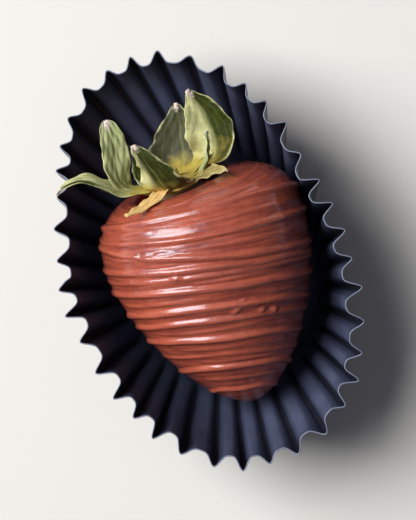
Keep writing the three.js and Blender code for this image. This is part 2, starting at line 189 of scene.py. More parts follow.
class Field:
    """A socket that can stand in a formula. Each sign adds a Math node to the tree."""

    def __init__(self, tree, socket):
        self.tree = tree
        self.socket = socket

    def math(self, operation, *others):
        node = add(self.tree, "ShaderNodeMath", dict(enumerate((self, *others))), operation=operation)
        return Field(self.tree, node.outputs[0])

    def __add__(self, other):
        return self.math("ADD", other)

    def __sub__(self, other):
        return self.math("SUBTRACT", other)

    def __mul__(self, other):
        return self.math("MULTIPLY", other)

    def __truediv__(self, other):
        return self.math("DIVIDE", other)

    def __pow__(self, other):
        return self.math("POWER", other)

    def __rsub__(self, other):
        return self * -1 + other

    __radd__ = __add__
    __rmul__ = __mul__

    def smooth(self, low, high, start=0.0, end=1.0):
        """Goes softly from start to end while this value goes from low to high."""
        given = {"Value": self, "From Min": low, "From Max": high, "To Min": start, "To Max": end}
        node = add(self.tree, "ShaderNodeMapRange", given, interpolation_type="SMOOTHSTEP")
        return Field(self.tree, node.outputs["Result"])

    def within(self, low, high):
        """This value, held between low and high."""
        return self.math("MAXIMUM", low).math("MINIMUM", high)


# %% Helpers for any tree


def mix(start, end, share):
    """A field that goes from one field to another as share goes from 0 to 1."""
    return start + (end - start) * share


def parts_of(tree, vector):
    """The x, y and z of a vector socket, as fields."""
    node = add(tree, "ShaderNodeSeparateXYZ", {0: vector})
    return [Field(tree, socket) for socket in node.outputs]


def noise(tree, vector, scale, detail):
    """Soft random patches, with values round a half. Without a vector it follows the position."""
    node = add(tree, "ShaderNodeTexNoise", {"Vector": vector, "Scale": scale, "Detail": detail})
    return Field(tree, node.outputs[0])


SOCKETS = {float: "NodeSocketFloat", int: "NodeSocketInt", "object": "NodeSocketObject",
           "material": "NodeSocketMaterial", "geometry": "NodeSocketGeometry"}


def new_tree(name, kind, inputs, output):
    """A node tree with named inputs and one output, and its inputs as a dictionary of fields."""
    tree = bpy.data.node_groups.new(name, kind)
    for label, value in inputs.items():
        known = type(value) if type(value) in SOCKETS else value
        socket = tree.interface.new_socket(name=label, in_out="INPUT", socket_type=SOCKETS[known])
        if known is not value:
            socket.default_value = value
    result = SOCKETS["geometry"] if kind == "GeometryNodeTree" else SOCKETS[float]
    tree.interface.new_socket(name=output, in_out="OUTPUT", socket_type=result)
    source = tree.nodes.new("NodeGroupInput")
    return tree, {label: Field(tree, source.outputs[label]) for label in inputs}


def give_out(tree, value):
    """Ends a tree with what it puts out."""
    feed(tree, tree.nodes.new("NodeGroupOutput").inputs[0], value)


# %% [markdown]
# ## From a geometry tree to a mesh
#
# A geometry tree could stay on its object as a live modifier. A finished piece is handed over as a
# plain mesh, though, so each tree is run once: its inputs are set by their identifiers, its result
# is copied to a new mesh, and the modifier goes. Instances would be lost on the way, which is why
# every tree ends by making them real and giving them their material.

# %% Helpers for geometry trees


def shape_of(tree, thing):
    """The geometry of another object."""
    return add(tree, "GeometryNodeObjectInfo", {"Object": thing}).outputs["Geometry"]


def read_value(tree, name):
    """A number that the mesh carries for each of its points."""
    return Field(tree, add(tree, "GeometryNodeInputNamedAttribute", {"Name": name}).outputs[0])


def store_value(tree, geometry, name, value):
    """Stores a field on the points of a mesh, for its material to read."""
    node = add(tree, "GeometryNodeStoreNamedAttribute", {
        "Geometry": geometry, "Name": name, "Value": value}, domain="POINT")
    return node.outputs[0]


def push_out(tree, geometry, distance):
    """Moves each point of a surface along its normal."""
    normal = add(tree, "GeometryNodeInputNormal").outputs[0]
    push = add(tree, "ShaderNodeVectorMath", {0: normal, "Scale": distance}, operation="SCALE")
    moved = add(tree, "GeometryNodeSetPosition", {"Geometry": geometry, "Offset": push.outputs[0]})
    return moved.outputs[0]


def finish_geometry(tree, geometry, material):
    """The end of every geometry tree: real mesh instead of instances, and its material."""
    real = add(tree, "GeometryNodeRealizeInstances", {"Geometry": geometry})
    shown = add(tree, "GeometryNodeSetMaterial", {"Geometry": real.outputs[0], "Material": material})
    give_out(tree, shown.outputs[0])


# %% Running a tree


def grown(base, tree, values, name):
    """Runs a geometry tree on base and gives its result back as a plain mesh object."""
    modifier = base.modifiers.new("tree", "NODES")
    modifier.node_group = tree
    for item in tree.interface.items_tree:
        if item.in_out == "INPUT" and item.name in values:
            modifier[item.identifier] = values[item.name]
    ready = base.evaluated_get(bpy.context.evaluated_depsgraph_get())
    mesh = bpy.data.meshes.new_from_object(ready)
    mesh.name = name
    mesh.shade_smooth()
    old = base.data
    bpy.data.objects.remove(base)
    bpy.data.meshes.remove(old)
    return new_object(name, mesh)


# %% [markdown]
# ## Camera and light
#
# The strawberry is seen from nearly straight above, with +Y up in the picture. A short lens close
# by would show one wall of the case far larger than the other, so a long lens looks from far away,
# a little to one side, and keeps the view nearly flat.
#
# One large soft window of slightly cool light stands to the upper left. It gives the broad pink
# sheen on the chocolate and lets the right side fall into shadow, where a small bare lamp would
# leave hard little glints. A pale ceiling and a faint bluish room lift the shadow only a little.

# %% Camera
CAMERA_HEIGHT = 0.70
CAMERA_SIDE = (0.0093, 0.031)          # the camera's foot: the berry is a little left of and below it
VIEW_CENTRE = (-0.0012, 0.0038, 0.018)
VIEW_TALL = 0.106                      # height of what is seen, at the centre of the view

camera_data = bpy.data.cameras.new("camera")
camera = new_object("camera", camera_data)
bpy.context.scene.camera = camera
camera.location = (*CAMERA_SIDE, CAMERA_HEIGHT)
aim = Vector(VIEW_CENTRE) - camera.location
side = aim.cross(Vector((0, 1, 0))).normalized()
upright = side.cross(aim).normalized()
turned_camera = np.array([side, upright, -aim.normalized()]).T
camera.rotation_mode = "QUATERNION"
camera.rotation_quaternion = Matrix(turned_camera.tolist()).to_quaternion()
camera_data.sensor_width = 36
camera_data.lens = camera_data.sensor_width * aim.length / VIEW_TALL
camera_data.clip_start = 0.01
print(f"lens {camera_data.lens:.0f} mm, aimed from {aim.length:.3f} m")

# %% Light
# Each light: where it comes from, how far off it is, how large, its watts and its colour.
LIGHTS = {
    "window": ((-0.63, 0.22, 0.74), 1.2, (0.75, 1.0), 30.0, (0.88, 0.94, 1.0)),
    "pale ceiling": ((0.25, 0.05, 1.0), 1.4, (0.9, 0.9), 1.0, (0.84, 0.91, 1.0)),
}
ROOM_COLOUR = (0.62, 0.70, 1.0)
ROOM_STRENGTH = 0.08


def area_light(name, towards, away, size, watts, colour):
    """A rectangle of light that faces the middle of the berry."""
    data = bpy.data.lights.new(name, "AREA")
    data.shape = "RECTANGLE"
    data.size, data.size_y = size
    data.energy = watts
    data.color = colour
    lamp = new_object(name, data)
    lamp.location = Vector(VIEW_CENTRE) + Vector(towards).normalized() * away
    lamp.rotation_mode = "QUATERNION"
    lamp.rotation_quaternion = Vector(towards).to_track_quat("Z", "Y")


for name, settings in LIGHTS.items():
    area_light(name, *settings)

world = bpy.data.worlds.new("studio")
world.use_nodes = True
background = world.node_tree.nodes["Background"].inputs
background["Color"].default_value = (*ROOM_COLOUR, 1)
background["Strength"].default_value = ROOM_STRENGTH
bpy.context.scene.world = world
bpy.context.scene.view_settings.view_transform = "Standard"
print("lights:", ", ".join(LIGHTS))

# %% [markdown]
# ## Finishes
#
# The finishes are uneven in the same few ways. Their colour drifts in soft patches, their surface
# has a fine grain, and chocolate that has run is streaked. Painted images could show that, but they
# blur close up and need seams. Each effect is a shader node group instead, built once and given its
# own size and strength wherever it is used. The groups give out only masks and heights. The
# Principled shader stays in the material.

# %% Shared effects


def own_place(tree):
    """Where a point lies in its own object, in metres."""
    return add(tree, "ShaderNodeTexCoord").outputs["Object"]


def patches_group():
    """A soft mask from 0 to 1, in patches of a given size in metres."""
    inputs = {"Size": 10 * MM, "Detail": 3.0, "Contrast": 1.0}
    tree, given = new_tree("patches", "ShaderNodeTree", inputs, "Mask")
    patches = noise(tree, own_place(tree), given["Size"] ** -1, given["Detail"])
    give_out(tree, ((patches - 0.5) * given["Contrast"] + 0.5).within(0.0, 1.0))
    return tree


def grain_group():
    """The height of a fine uneven surface: broad ripples, and a grain a tenth as large."""
    inputs = {"Size": 2 * MM, "Ripple": 1.0, "Grain": 0.3}
    tree, given = new_tree("grain", "ShaderNodeTree", inputs, "Height")
    per_metre = given["Size"] ** -1
    place = own_place(tree)
    broad = (noise(tree, place, per_metre * 1.0, 2.0) - 0.5) * given["Ripple"]
    fine = (noise(tree, place, per_metre * 10.0, 2.0) - 0.5) * given["Grain"]
    give_out(tree, broad + fine)
    return tree


def streaks_group():
    """A mask in long thin streaks. Lane counts the distance across them, in millimetres."""
    inputs = {"Lane": 0.0, "Wide": 0.8, "Long": 12 * MM}
    tree, given = new_tree("streaks", "ShaderNodeTree", inputs, "Mask")
    x, _, z = parts_of(tree, own_place(tree))
    place = add(tree, "ShaderNodeCombineXYZ", {
        0: x / given["Long"], 1: z / given["Long"], 2: given["Lane"] / given["Wide"]})
    give_out(tree, noise(tree, place.outputs[0], 1.0, 3.0).smooth(0.25, 0.75))
    return tree


PATCHES = patches_group()
GRAIN = grain_group()
STREAKS = streaks_group()
print("shader groups:", PATCHES.name, GRAIN.name, STREAKS.name)

# %% Helpers for materials


def new_material(name, constants=None):
    """A material with its Principled shader. What is the same all over is set on the shader."""
    material = bpy.data.materials.new(name)
    material.use_nodes = True
    shader = material.node_tree.nodes["Principled BSDF"]
    for label, value in (constants or {}).items():
        shader.inputs[label].default_value = value
    return material, material.node_tree, shader


def effect(tree, group, given):
    """Places a shared effect in a material and gives back what it puts out."""
    node = add(tree, "ShaderNodeGroup", node_tree=group)
    for name, value in given.items():
        feed(tree, node.inputs[name], value)
    return Field(tree, node.outputs[0])


def stored(tree, name):
    """A number that the mesh carries for each of its points."""
    return Field(tree, add(tree, "ShaderNodeAttribute", attribute_name=name).outputs["Fac"])


def layered(tree, colour, layers):
    """A colour with others laid over it in turn, each with its share from 0 to 1."""
    for above, share in layers:
        node = add(tree, "ShaderNodeMix", data_type="RGBA")
        feed(tree, node.inputs[0], share)
        feed(tree, node.inputs[6], (*colour, 1) if isinstance(colour, tuple) else colour)
        feed(tree, node.inputs[7], (*above, 1))
        colour = node.outputs[2]
    return colour


def bump(tree, shader, height, distance):
    """Turns a height from 0 to 1 into a bumpy normal, distance metres high."""
    node = add(tree, "ShaderNodeBump", {"Height": height, "Distance": distance, "Strength": 1.0})
    tree.links.new(node.outputs["Normal"], shader.inputs["Normal"])


# %% [markdown]
# ## Milk chocolate
#
# Set milk chocolate is a warm reddish brown. It could be one colour with a sharp highlight, but that
# looks like plastic. Real chocolate is satin under a thin gloss of cocoa butter, so the shader has
# an uneven roughness and a clear coat over it. Its colour drifts a little, with tiny dark specks,
# and it is streaked the way it ran, with low ridges in its surface. Its colour is painted lighter on
# those ridges and darker in the furrows between them, as painted light and painted shade. The
# streaks follow the rings of the coat, whose mesh numbers them as lanes. The drizzle went on later
# and is a shade lighter, so the mesh also carries a mask of where it lies. The mask grows with each
# thread's height, so the lighter tint on the thread tops is partly a painted highlight.

# %% Chocolate
CHOCOLATE = (0.442, 0.088, 0.041)
# Darker drifting patches, and painted shade in the furrows between the streaks.
CHOCOLATE_DARK_AND_FURROW_SHADE = (0.20, 0.035, 0.024)
# The drizzle's own lighter tint, which also serves as a painted highlight on the thread tops.
CHOCOLATE_DRIZZLE_AND_SHEEN = (0.500, 0.112, 0.060)
CHOCOLATE_SPECK = (0.16, 0.032, 0.022)
CHOCOLATE_RELIEF = 0.22 * MM


def chocolate_material():
    material, tree, shader = new_material("milk chocolate", {
        "Specular IOR Level": 0.5, "Specular Tint": (0.72, 0.88, 1, 1), "Coat Weight": 0.7,
        "Coat Roughness": 0.15})
    drift = effect(tree, PATCHES, {"Size": 8 * MM, "Contrast": 1.8})
    specks = effect(tree, PATCHES, {"Size": 0.7 * MM, "Detail": 1.0, "Contrast": 3.0})
    streaks = effect(tree, STREAKS, {"Lane": stored(tree, "lane"), "Wide": 0.75, "Long": 9 * MM})
    # Painted light and shade: the streak mask that raises ridges in the bump also makes the colour lighter
    # on them and darker in the furrows.
    colour = layered(tree, CHOCOLATE_DARK_AND_FURROW_SHADE, [
        (CHOCOLATE, drift * 0.45 + streaks * 0.8 - 0.1),
        # partly a painted highlight: lighter where the threads stand highest
        (CHOCOLATE_DRIZZLE_AND_SHEEN, stored(tree, "drizzle") * 0.8),
        (CHOCOLATE_SPECK, specks.smooth(0.78, 1.0, start=0.0, end=0.25)),
    ])
    tree.links.new(colour, shader.inputs["Base Color"])
    satin = effect(tree, PATCHES, {"Size": 3.5 * MM, "Contrast": 1.6})
    feed(tree, shader.inputs["Roughness"], satin.smooth(0.0, 1.0, start=0.24, end=0.40))
    grain = effect(tree, GRAIN, {"Size": 2.4 * MM, "Ripple": 0.8, "Grain": 0.07})
    bump(tree, shader, grain + streaks * 0.30, CHOCOLATE_RELIEF)
    return material


MILK_CHOCOLATE = chocolate_material()
print(f"{MILK_CHOCOLATE.name}: {len(MILK_CHOCOLATE.node_tree.nodes)} nodes")

# %% [markdown]
# ## Waxed paper
#
# The case is pressed from black paper with a thin coat of wax. Plain black would hide its flutes,
# and real paper isn't so dark: it is a very deep blue grey that shines softly where a fold faces the
# window. Its fibres show as a fine grain. The ridges that point into the case are painted paler, as a
# painted highlight where light catches them. The furrows between them are painted nearly black, as
# painted shade. The sheet's outer face carries the same marks. The cut edge at the rim is bare and
# palest. The mesh carries both: how far up the wall a point lies, and whether it is on a ridge or in
# a furrow.

# %% Paper
PAPER = (0.039, 0.043, 0.076)
# Painted light: a paler colour as a painted highlight on the ridges, and a near black as painted shade in
# the furrows
PAPER_PAINTED_RIDGE_LIGHT = (0.108, 0.115, 0.178)
PAPER_PAINTED_CREASE_SHADE = (0.006, 0.006, 0.010)
PAPER_EDGE = (0.20, 0.21, 0.27)
PAPER_RELIEF = 0.07 * MM


def paper_material():
    material, tree, shader = new_material("waxed paper")
    fibres = effect(tree, PATCHES, {"Size": 0.9 * MM, "Detail": 4.0, "Contrast": 2.2})
    clouds = effect(tree, PATCHES, {"Size": 7 * MM, "Contrast": 1.6})
    fold = stored(tree, "fold")
    # Painted highlight: the inward ridges are painted paler.
    painted_ridge_light = (fold * -1).smooth(0.05, 0.40) * (clouds * 0.5 + 0.15)
    colour = layered(tree, PAPER, [
        (PAPER_PAINTED_RIDGE_LIGHT, painted_ridge_light + fibres * 0.10),
        # Painted shade: the furrows between the flutes are painted nearly black.
        (PAPER_PAINTED_CREASE_SHADE, fold.smooth(0.0, 0.42, start=0.0, end=0.92)),
        (PAPER_EDGE, stored(tree, "share").smooth(0.985, 1.0, start=0.0, end=0.8)),
    ])
    tree.links.new(colour, shader.inputs["Base Color"])
    feed(tree, shader.inputs["Roughness"], fibres.smooth(0.0, 1.0, start=0.33, end=0.48))
    height = effect(tree, GRAIN, {"Size": 1.6 * MM, "Ripple": 0.8, "Grain": 0.5})
    bump(tree, shader, height, PAPER_RELIEF)
    return material


WAXED_PAPER = paper_material()
print(f"{WAXED_PAPER.name}: {len(WAXED_PAPER.node_tree.nodes)} nodes")

# %% [markdown]
# ## Bare fruit and seeds
#
# Bare strawberry skin is moist and glossy, red at the coat and pale cream at the stem. A gradient
# across space would cut straight through the round shoulder, so the mesh carries each point's
# distance from the stem over the skin, and the colour follows that. Seeds are small and dry, straw
# coloured and brown in places.

# %% Fruit and seeds
FLESH = (0.60, 0.030, 0.012)
FLESH_PALE = (0.80, 0.60, 0.36)
FLESH_RELIEF = 0.12 * MM
SEED_STRAW = (0.62, 0.42, 0.13)
SEED_BROWN = (0.35, 0.17, 0.05)


def flesh_material():
    material, tree, shader = new_material("strawberry skin", {"Roughness": 0.3})
    blush = effect(tree, PATCHES, {"Size": 3 * MM, "Contrast": 1.5})
    reach = stored(tree, "from_stem") + blush * 1.6
    colour = layered(tree, FLESH_PALE, [(FLESH, reach.smooth(4.6, 8.6))])
    tree.links.new(colour, shader.inputs["Base Color"])
    bump(tree, shader, effect(tree, GRAIN, {"Size": 1.2 * MM, "Grain": 0.2}), FLESH_RELIEF)
    return material


def seed_material():
    material, tree, shader = new_material("strawberry seed", {"Roughness": 0.55})
    brown = effect(tree, PATCHES, {"Size": 0.4 * MM, "Contrast": 2.0})
    tree.links.new(layered(tree, SEED_STRAW, [(SEED_BROWN, brown)]), shader.inputs["Base Color"])
    return material


STRAWBERRY_SKIN = flesh_material()
SEED_SHELL = seed_material()
print("two plain finishes:", STRAWBERRY_SKIN.name, "and", SEED_SHELL.name)

# %% [markdown]
# ## Leaf
#
# A strawberry leaf is matt and soft. It goes from a yellow base to a green blade with a pale middle
# rib, finer veins beside it, pale edges and a dry pinkish tip. One side of a blade may fold over and
# show its pale face, and some blades are greyish with felt or have dried to straw. One green with a
# little noise would look like plastic foil. All of this follows the leaf and not space, so the mesh
# carries where each point lies on its own leaf, and how pale, felted, folded or dry it is there. The
# colour is laid on in layers, from the blade up to the dry parts.

# %% Leaf colours
LEAF_DARK = (0.020, 0.025, 0.002)
LEAF_GREEN = (0.070, 0.086, 0.004)
LEAF_PALE = (0.42, 0.44, 0.19)
LEAF_FELT = (0.066, 0.060, 0.038)
LEAF_VEIN = (0.30, 0.32, 0.09)
LEAF_EDGE = (0.66, 0.61, 0.29)
LEAF_BASE = (0.53, 0.39, 0.070)
LEAF_TIP = (0.80, 0.62, 0.52)
LEAF_DRY = (0.80, 0.49, 0.18)
LEAF_RELIEF = 0.11 * MM
VEINS_EACH_SIDE = 3


def leaf_lines(along, side, clouds):
    """A mask of the middle rib and of the veins that run beside it. It fades towards the tip."""
    spread = side * (along * -0.25 + 1.2) + (clouds - 0.5) * 0.10
    from_vein = (spread * VEINS_EACH_SIDE).math("PINGPONG", 0.5)
    veins = from_vein.smooth(0.01, 0.13, start=0.45, end=0.0)
    rib = side.math("ABSOLUTE").smooth(0.02, 0.09, start=0.9, end=0.0)
    return (veins + rib).math("MINIMUM", 1.0) * along.smooth(0.7, 0.95, start=1.0, end=0.0)


def leaf_colour(tree, along, side, lines, cells, clouds):
    """The layers of a leaf's colour."""
    shade = stored(tree, "shade")
    to_side = side.math("ABSOLUTE")
    return layered(tree, LEAF_DARK, [
        (LEAF_GREEN, shade.smooth(0.0, 0.6) + (clouds - 0.5) * 0.7),
        (LEAF_PALE, shade.smooth(0.45, 1.0) * (clouds * 0.5 + 0.7)),
        (LEAF_FELT, stored(tree, "felt") * 0.8),
        (LEAF_EDGE, stored(tree, "margin") * (clouds * 0.5 + 0.6)),
        (LEAF_VEIN, lines * 0.22 + cells * 0.05),
        (LEAF_EDGE, (to_side + clouds * 0.24).smooth(0.97, 1.20, start=0.0, end=0.85)),
        (LEAF_BASE, (along + clouds * 0.16).smooth(0.26, 0.60, start=1.0, end=0.0)),
        (LEAF_TIP, (along + cells * 0.06 - to_side * 0.08).smooth(0.92, 1.0)),
        (LEAF_DRY, stored(tree, "dry")),
    ])


# %% Leaf material


def leaf_material():
    material, tree, shader = new_material("strawberry leaf", {"Specular IOR Level": 0.18})
    along, side = stored(tree, "along"), stored(tree, "side")
    cells = effect(tree, PATCHES, {"Size": 0.6 * MM, "Detail": 2.0, "Contrast": 2.2})
    clouds = effect(tree, PATCHES, {"Size": 3.0 * MM, "Contrast": 2.6})
    lines = leaf_lines(along, side, clouds)
    colour = leaf_colour(tree, along, side, lines, cells, clouds)
    tree.links.new(colour, shader.inputs["Base Color"])
    feed(tree, shader.inputs["Roughness"], cells.smooth(0.0, 1.0, start=0.42, end=0.62))
    grain = effect(tree, GRAIN, {"Size": 0.9 * MM, "Ripple": 0.9, "Grain": 0.4})
    bump(tree, shader, grain - lines * 0.5, LEAF_RELIEF)
    return material


STRAWBERRY_LEAF = leaf_material()
print(f"{STRAWBERRY_LEAF.name}: {len(STRAWBERRY_LEAF.node_tree.nodes)} nodes")

# %% [markdown]
# ## The shape of the berry
#
# One profile makes the coat and the fruit. It runs from the hollow under the leaves over the
# shoulder and down the flank to a blunt tip. It could be drawn by hand, point by point. Both its
# stretches are superellipses instead, a curve that one power takes from a diamond over an ellipse
# to a rectangle, so a few powers set how square the shoulder is and how blunt the tip. The profile
# is then turned round the axis, flattened a little, and leaned, because a real berry is not a
# turned vase.

# %% Berry sizes
BERRY = SimpleNamespace(
    radius=21.2 * MM,               # across the widest place
    thickness=0.93,                 # how much less it measures through than across
    shoulder=14 * MM, shoulder_power=3,
    dimple=2.5 * MM, dimple_radius=13 * MM,
    taper=34.8 * MM, taper_power=1.5, tip_power=1.65,
    lean=0.045, lean_from=18 * MM, lean_to=40 * MM,
    leaf_offset=-2.4 * MM, offset_from=8 * MM, offset_to=24 * MM,
    turn=17.3, pitch=12,            # degrees: from +Y towards -X, and up at the leaf end
    axis_x=-5.0 * MM, axis_y=18.1 * MM,
    foot=0.7 * MM, foot_press=1.1 * MM, foot_softness=0.35 * MM,
    profile_steps=240,
)


def berry_profile():
    """Length along the skin, radius and height, from the middle of the hollow to the tip."""
    rounding = np.linspace(0, math.pi / 2, BERRY.profile_steps, endpoint=False)
    flank = np.linspace(0, math.pi / 2, BERRY.profile_steps + 1)
    shoulder = BERRY.radius * np.sin(rounding) ** (2 / BERRY.shoulder_power)
    hollow = np.clip(1 - (shoulder / BERRY.dimple_radius) ** 2, 0, None) ** 2
    rise = BERRY.shoulder * np.cos(rounding) ** (2 / BERRY.shoulder_power)
    tip = BERRY.radius * np.clip(np.cos(flank), 0, None) ** (2 / BERRY.tip_power)
    fall = -BERRY.taper * np.sin(flank) ** (2 / BERRY.taper_power)
    radius = np.concatenate([shoulder, tip])
    height = np.concatenate([rise - BERRY.dimple * hollow, fall]) - (BERRY.shoulder - BERRY.dimple)
    length = np.concatenate([[0], np.cumsum(np.hypot(np.diff(radius), np.diff(height)))])
    return length, radius, height


LENGTHS, RADII, HEIGHTS = berry_profile()
SKIN_LENGTH = LENGTHS[-1]
print(f"from the leaves over the skin to the tip: {SKIN_LENGTH / MM:.1f} mm")

# %% Points on the skin


def skin_point(length, angle, lift):
    """Points of the skin in the berry's own frame, moved out by lift. Angle 90 degrees is up."""
    nudge = 0.2 * MM
    at = np.clip(length, 0, SKIN_LENGTH)
    before, after = np.maximum(at - nudge, 0), np.minimum(at + nudge, SKIN_LENGTH)
    run = np.interp(after, LENGTHS, RADII) - np.interp(before, LENGTHS, RADII)
    drop = np.interp(before, LENGTHS, HEIGHTS) - np.interp(after, LENGTHS, HEIGHTS)
    scale = lift / np.hypot(run, drop)
    out = np.maximum(np.interp(at, LENGTHS, RADII) + drop * scale, 0)
    offset = BERRY.leaf_offset * (1 - smoothstep(at, BERRY.offset_from, BERRY.offset_to))
    u = offset + out * np.cos(angle)
    w = out * BERRY.thickness * np.sin(angle)
    leaning = BERRY.lean * u * (1 - smoothstep(at, BERRY.lean_from, BERRY.lean_to))
    h = np.interp(at, LENGTHS, HEIGHTS) + run * scale + leaning
    return np.stack(np.broadcast_arrays(u, w, h), axis=-1)


halfway = skin_point(SKIN_LENGTH / 2, around(4), 0)
print("halfway over the skin, right, top, left and bottom, mm:", (halfway / MM).round(1).tolist())

# %% The berry's place in the part
TURN, PITCH = math.radians(BERRY.turn), math.radians(BERRY.pitch)
ACROSS = np.array([math.cos(TURN), math.sin(TURN), 0])
AXIS = np.array([-math.sin(TURN) * math.cos(PITCH), math.cos(TURN) * math.cos(PITCH), math.sin(PITCH)])
UP = np.cross(ACROSS, AXIS)
UNDERSIDE = skin_point(np.arange(0, SKIN_LENGTH, 0.5 * MM), -math.pi / 2, 0)
LOWEST = (UNDERSIDE[:, 1] * UP[2] + UNDERSIDE[:, 2] * AXIS[2]).min()
STEM_POINT = np.array([BERRY.axis_x, BERRY.axis_y, BERRY.foot - BERRY.foot_press - LOWEST])


def placed(local, floor=None):
    """Turns points of the berry's frame into the part's, and presses them flat on a floor."""
    points = STEM_POINT + np.asarray(local) @ np.array([ACROSS, UP, AXIS])
    if floor is not None:
        above = points[..., 2] - floor
        points[..., 2] = floor + (above + np.sqrt(above ** 2 + BERRY.foot_softness ** 2)) / 2
    return points


print("the skin under the leaves' middle, mm:", (STEM_POINT / MM).round(1).tolist())

# %% [markdown]
# ## The chocolate coat
#
# A dipped berry has a shell of chocolate about a millimetre and a half thick, with a thick rounded
# edge where the dipping stopped, and a small flat foot where it was set down. A sculpted blob could
# stand for it, but the shell comes out truer as rings: down the inside, round the edge and back over
# the outside. The rings are laid aslant, the way the drizzle runs, so that each thread gets fine
# rings across it.

# %% Coat sizes
COAT = SimpleNamespace(
    thickness=1.4 * MM, opening=8.9 * MM, opening_wave=0.7 * MM, wave_ends=17 * MM,
    bead=0.22 * MM, bead_at=1.7 * MM, bead_width=1.0 * MM,
    segments=240, outside_rings=330, outside_ends=0.15 * MM,
    inside_rings=40, inside_starts=0.3 * MM, inside_ends=1 * MM, inside_crowding=1.2,
    edge_rings=8, edge_turn=(0.12, 0.88),          # half turns round the edge, from inside to outside
    foot=0.55 * MM,
)
THREAD = SimpleNamespace(
    height=0.60 * MM, half_width=0.92 * MM, roundness=1.2,
    narrows=0.45,                   # how much narrower a thinner thread is, from 0 to 1
    slant=0.18, drape=0.105, starts_in=14 * MM, ends_in=13 * MM,
    reach=(-0.3, 1.3),              # half turns, from below the right side to below the left
    fade_from=-0.25, fade_to=-0.75,     # sine of the angle below which a thread runs out
    thinnest=0.3, swell=0.16, wander=0.16 * MM,
    waves=5, wave_size=(0.3, 1), wave_rate=(2, 9), wave_phase=(0, 6.3), seed=11,
    side=15,                        # degrees above level of the left and right in the next lists
)


def slant(angle, length):
    """How far a ring of the coat lies off level at one place: aslant, and wavy at the edge."""
    fade = smoothstep(length, COAT.opening, COAT.opening + THREAD.starts_in)
    fade = fade * (1 - smoothstep(length, SKIN_LENGTH - THREAD.ends_in, SKIN_LENGTH))
    across = BERRY.radius * (THREAD.slant * np.cos(angle) - THREAD.drape * np.sin(angle))
    edge = COAT.opening_wave * np.sin(3 * angle + 1)
    return fade * across + edge * (1 - smoothstep(length, COAT.opening, COAT.wave_ends))


print(f"rings {(SKIN_LENGTH - COAT.opening) / COAT.outside_rings / MM:.2f} mm apart on the outside")

# %% The bare coat


def coat_ring(length, lift, floor):
    angle = around(COAT.segments)
    return placed(skin_point(length + slant(angle, length), angle, lift), floor)


def coat_rows():
    """Where each ring lies, in order: along the skin, how far out of it, and on which floor."""
    middle = COAT.opening + COAT.thickness / 2
    crowded = np.linspace(0, 1, COAT.inside_rings) ** COAT.inside_crowding
    inside = lerp(middle + COAT.inside_starts, SKIN_LENGTH - COAT.inside_ends, crowded)
    rows = [(s, -COAT.thickness, COAT.foot + COAT.thickness) for s in inside[::-1]]
    for turn in np.linspace(*COAT.edge_turn, COAT.edge_rings) * math.pi:
        back = middle - COAT.thickness / 2 * math.sin(turn)
        depth = -COAT.thickness / 2 * (1 + math.cos(turn))
        rows.append((back, depth + COAT.bead * smoothstep(turn, 0, math.pi), COAT.foot))
    for s in np.linspace(middle, SKIN_LENGTH - COAT.outside_ends, COAT.outside_rings):
        from_bead = (s - COAT.opening - COAT.bead_at) / COAT.bead_width
        rows.append((s, COAT.bead * math.exp(-max(from_bead, 0) ** 2), COAT.foot))
    return rows


def bare_coat():
    """The shell: up the inside, round its thick edge, and over the outside to the tip."""
    rows = coat_rows()
    rings = np.array([coat_ring(*row) for row in rows])
    inner_tip = placed(skin_point(SKIN_LENGTH, 0, -COAT.thickness), COAT.foot + COAT.thickness)
    outer_tip = placed(skin_point(SKIN_LENGTH, 0, 0), COAT.foot)
    shell = new_piece("bare coat", *closed_rings(inner_tip, rings, outer_tip))
    lanes = np.repeat([row[0] for row in rows], COAT.segments)
    point_values(shell, "lane", np.concatenate([[SKIN_LENGTH], lanes, [SKIN_LENGTH]]) / MM)
    return shell


shell = bare_coat()
report(shell)

# %% [markdown]
# ## The drizzle
#
# The threads are poured over the dipped berry while it lies down, so they cross the top and the
# sides and run out underneath. Each one is a soft half round that melts into the coat at its foot,
# swells and thins a little and never runs quite straight. Tubes laid on the coat would leave a hard
# seam, so the threads are drawn as lines on the skin, and a Geometry Nodes tree lifts the coat
# wherever a line passes: the height falls off with the distance to the nearest line.

# %% Threads and strokes
# Each thread, from the leaves to the tip. First how far along the skin it lies at the left, on
# top and at the right, in mm. Then how thick it is there, where 1 is a full thread.
THREADS = [
    ((22.4, 19.6, 20.5), (0.8, 0.6, 1.0)),
    ((26.0, 25.8, 25.6), (0.7, 0.8, 1.1)),
    ((27.6, 30.3, 31.8), (1.0, 1.0, 1.1)),
    ((32.3, 32.6, 33.5), (0.9, 1.0, 0.9)),
    ((34.6, 34.3, 34.6), (0.4, 0.5, 0.8)),
    ((37.6, 37.1, 37.8), (1.1, 1.2, 1.2)),
    ((43.2, 41.5, 43.0), (1.0, 1.1, 0.8)),
    ((46.2, 44.6, 45.8), (0.8, 1.0, 0.7)),
    ((50.0, 49.3, 50.2), (1.0, 1.2, 0.7)),
    ((54.4, 53.9, 54.2), (0.4, 0.4, 0.5)),
    ((59.2, 57.2, 57.6), (0.9, 1.2, 0.8)),
    ((65.3, 64.2, 65.0), (0.7, 0.9, 0.6)),
]
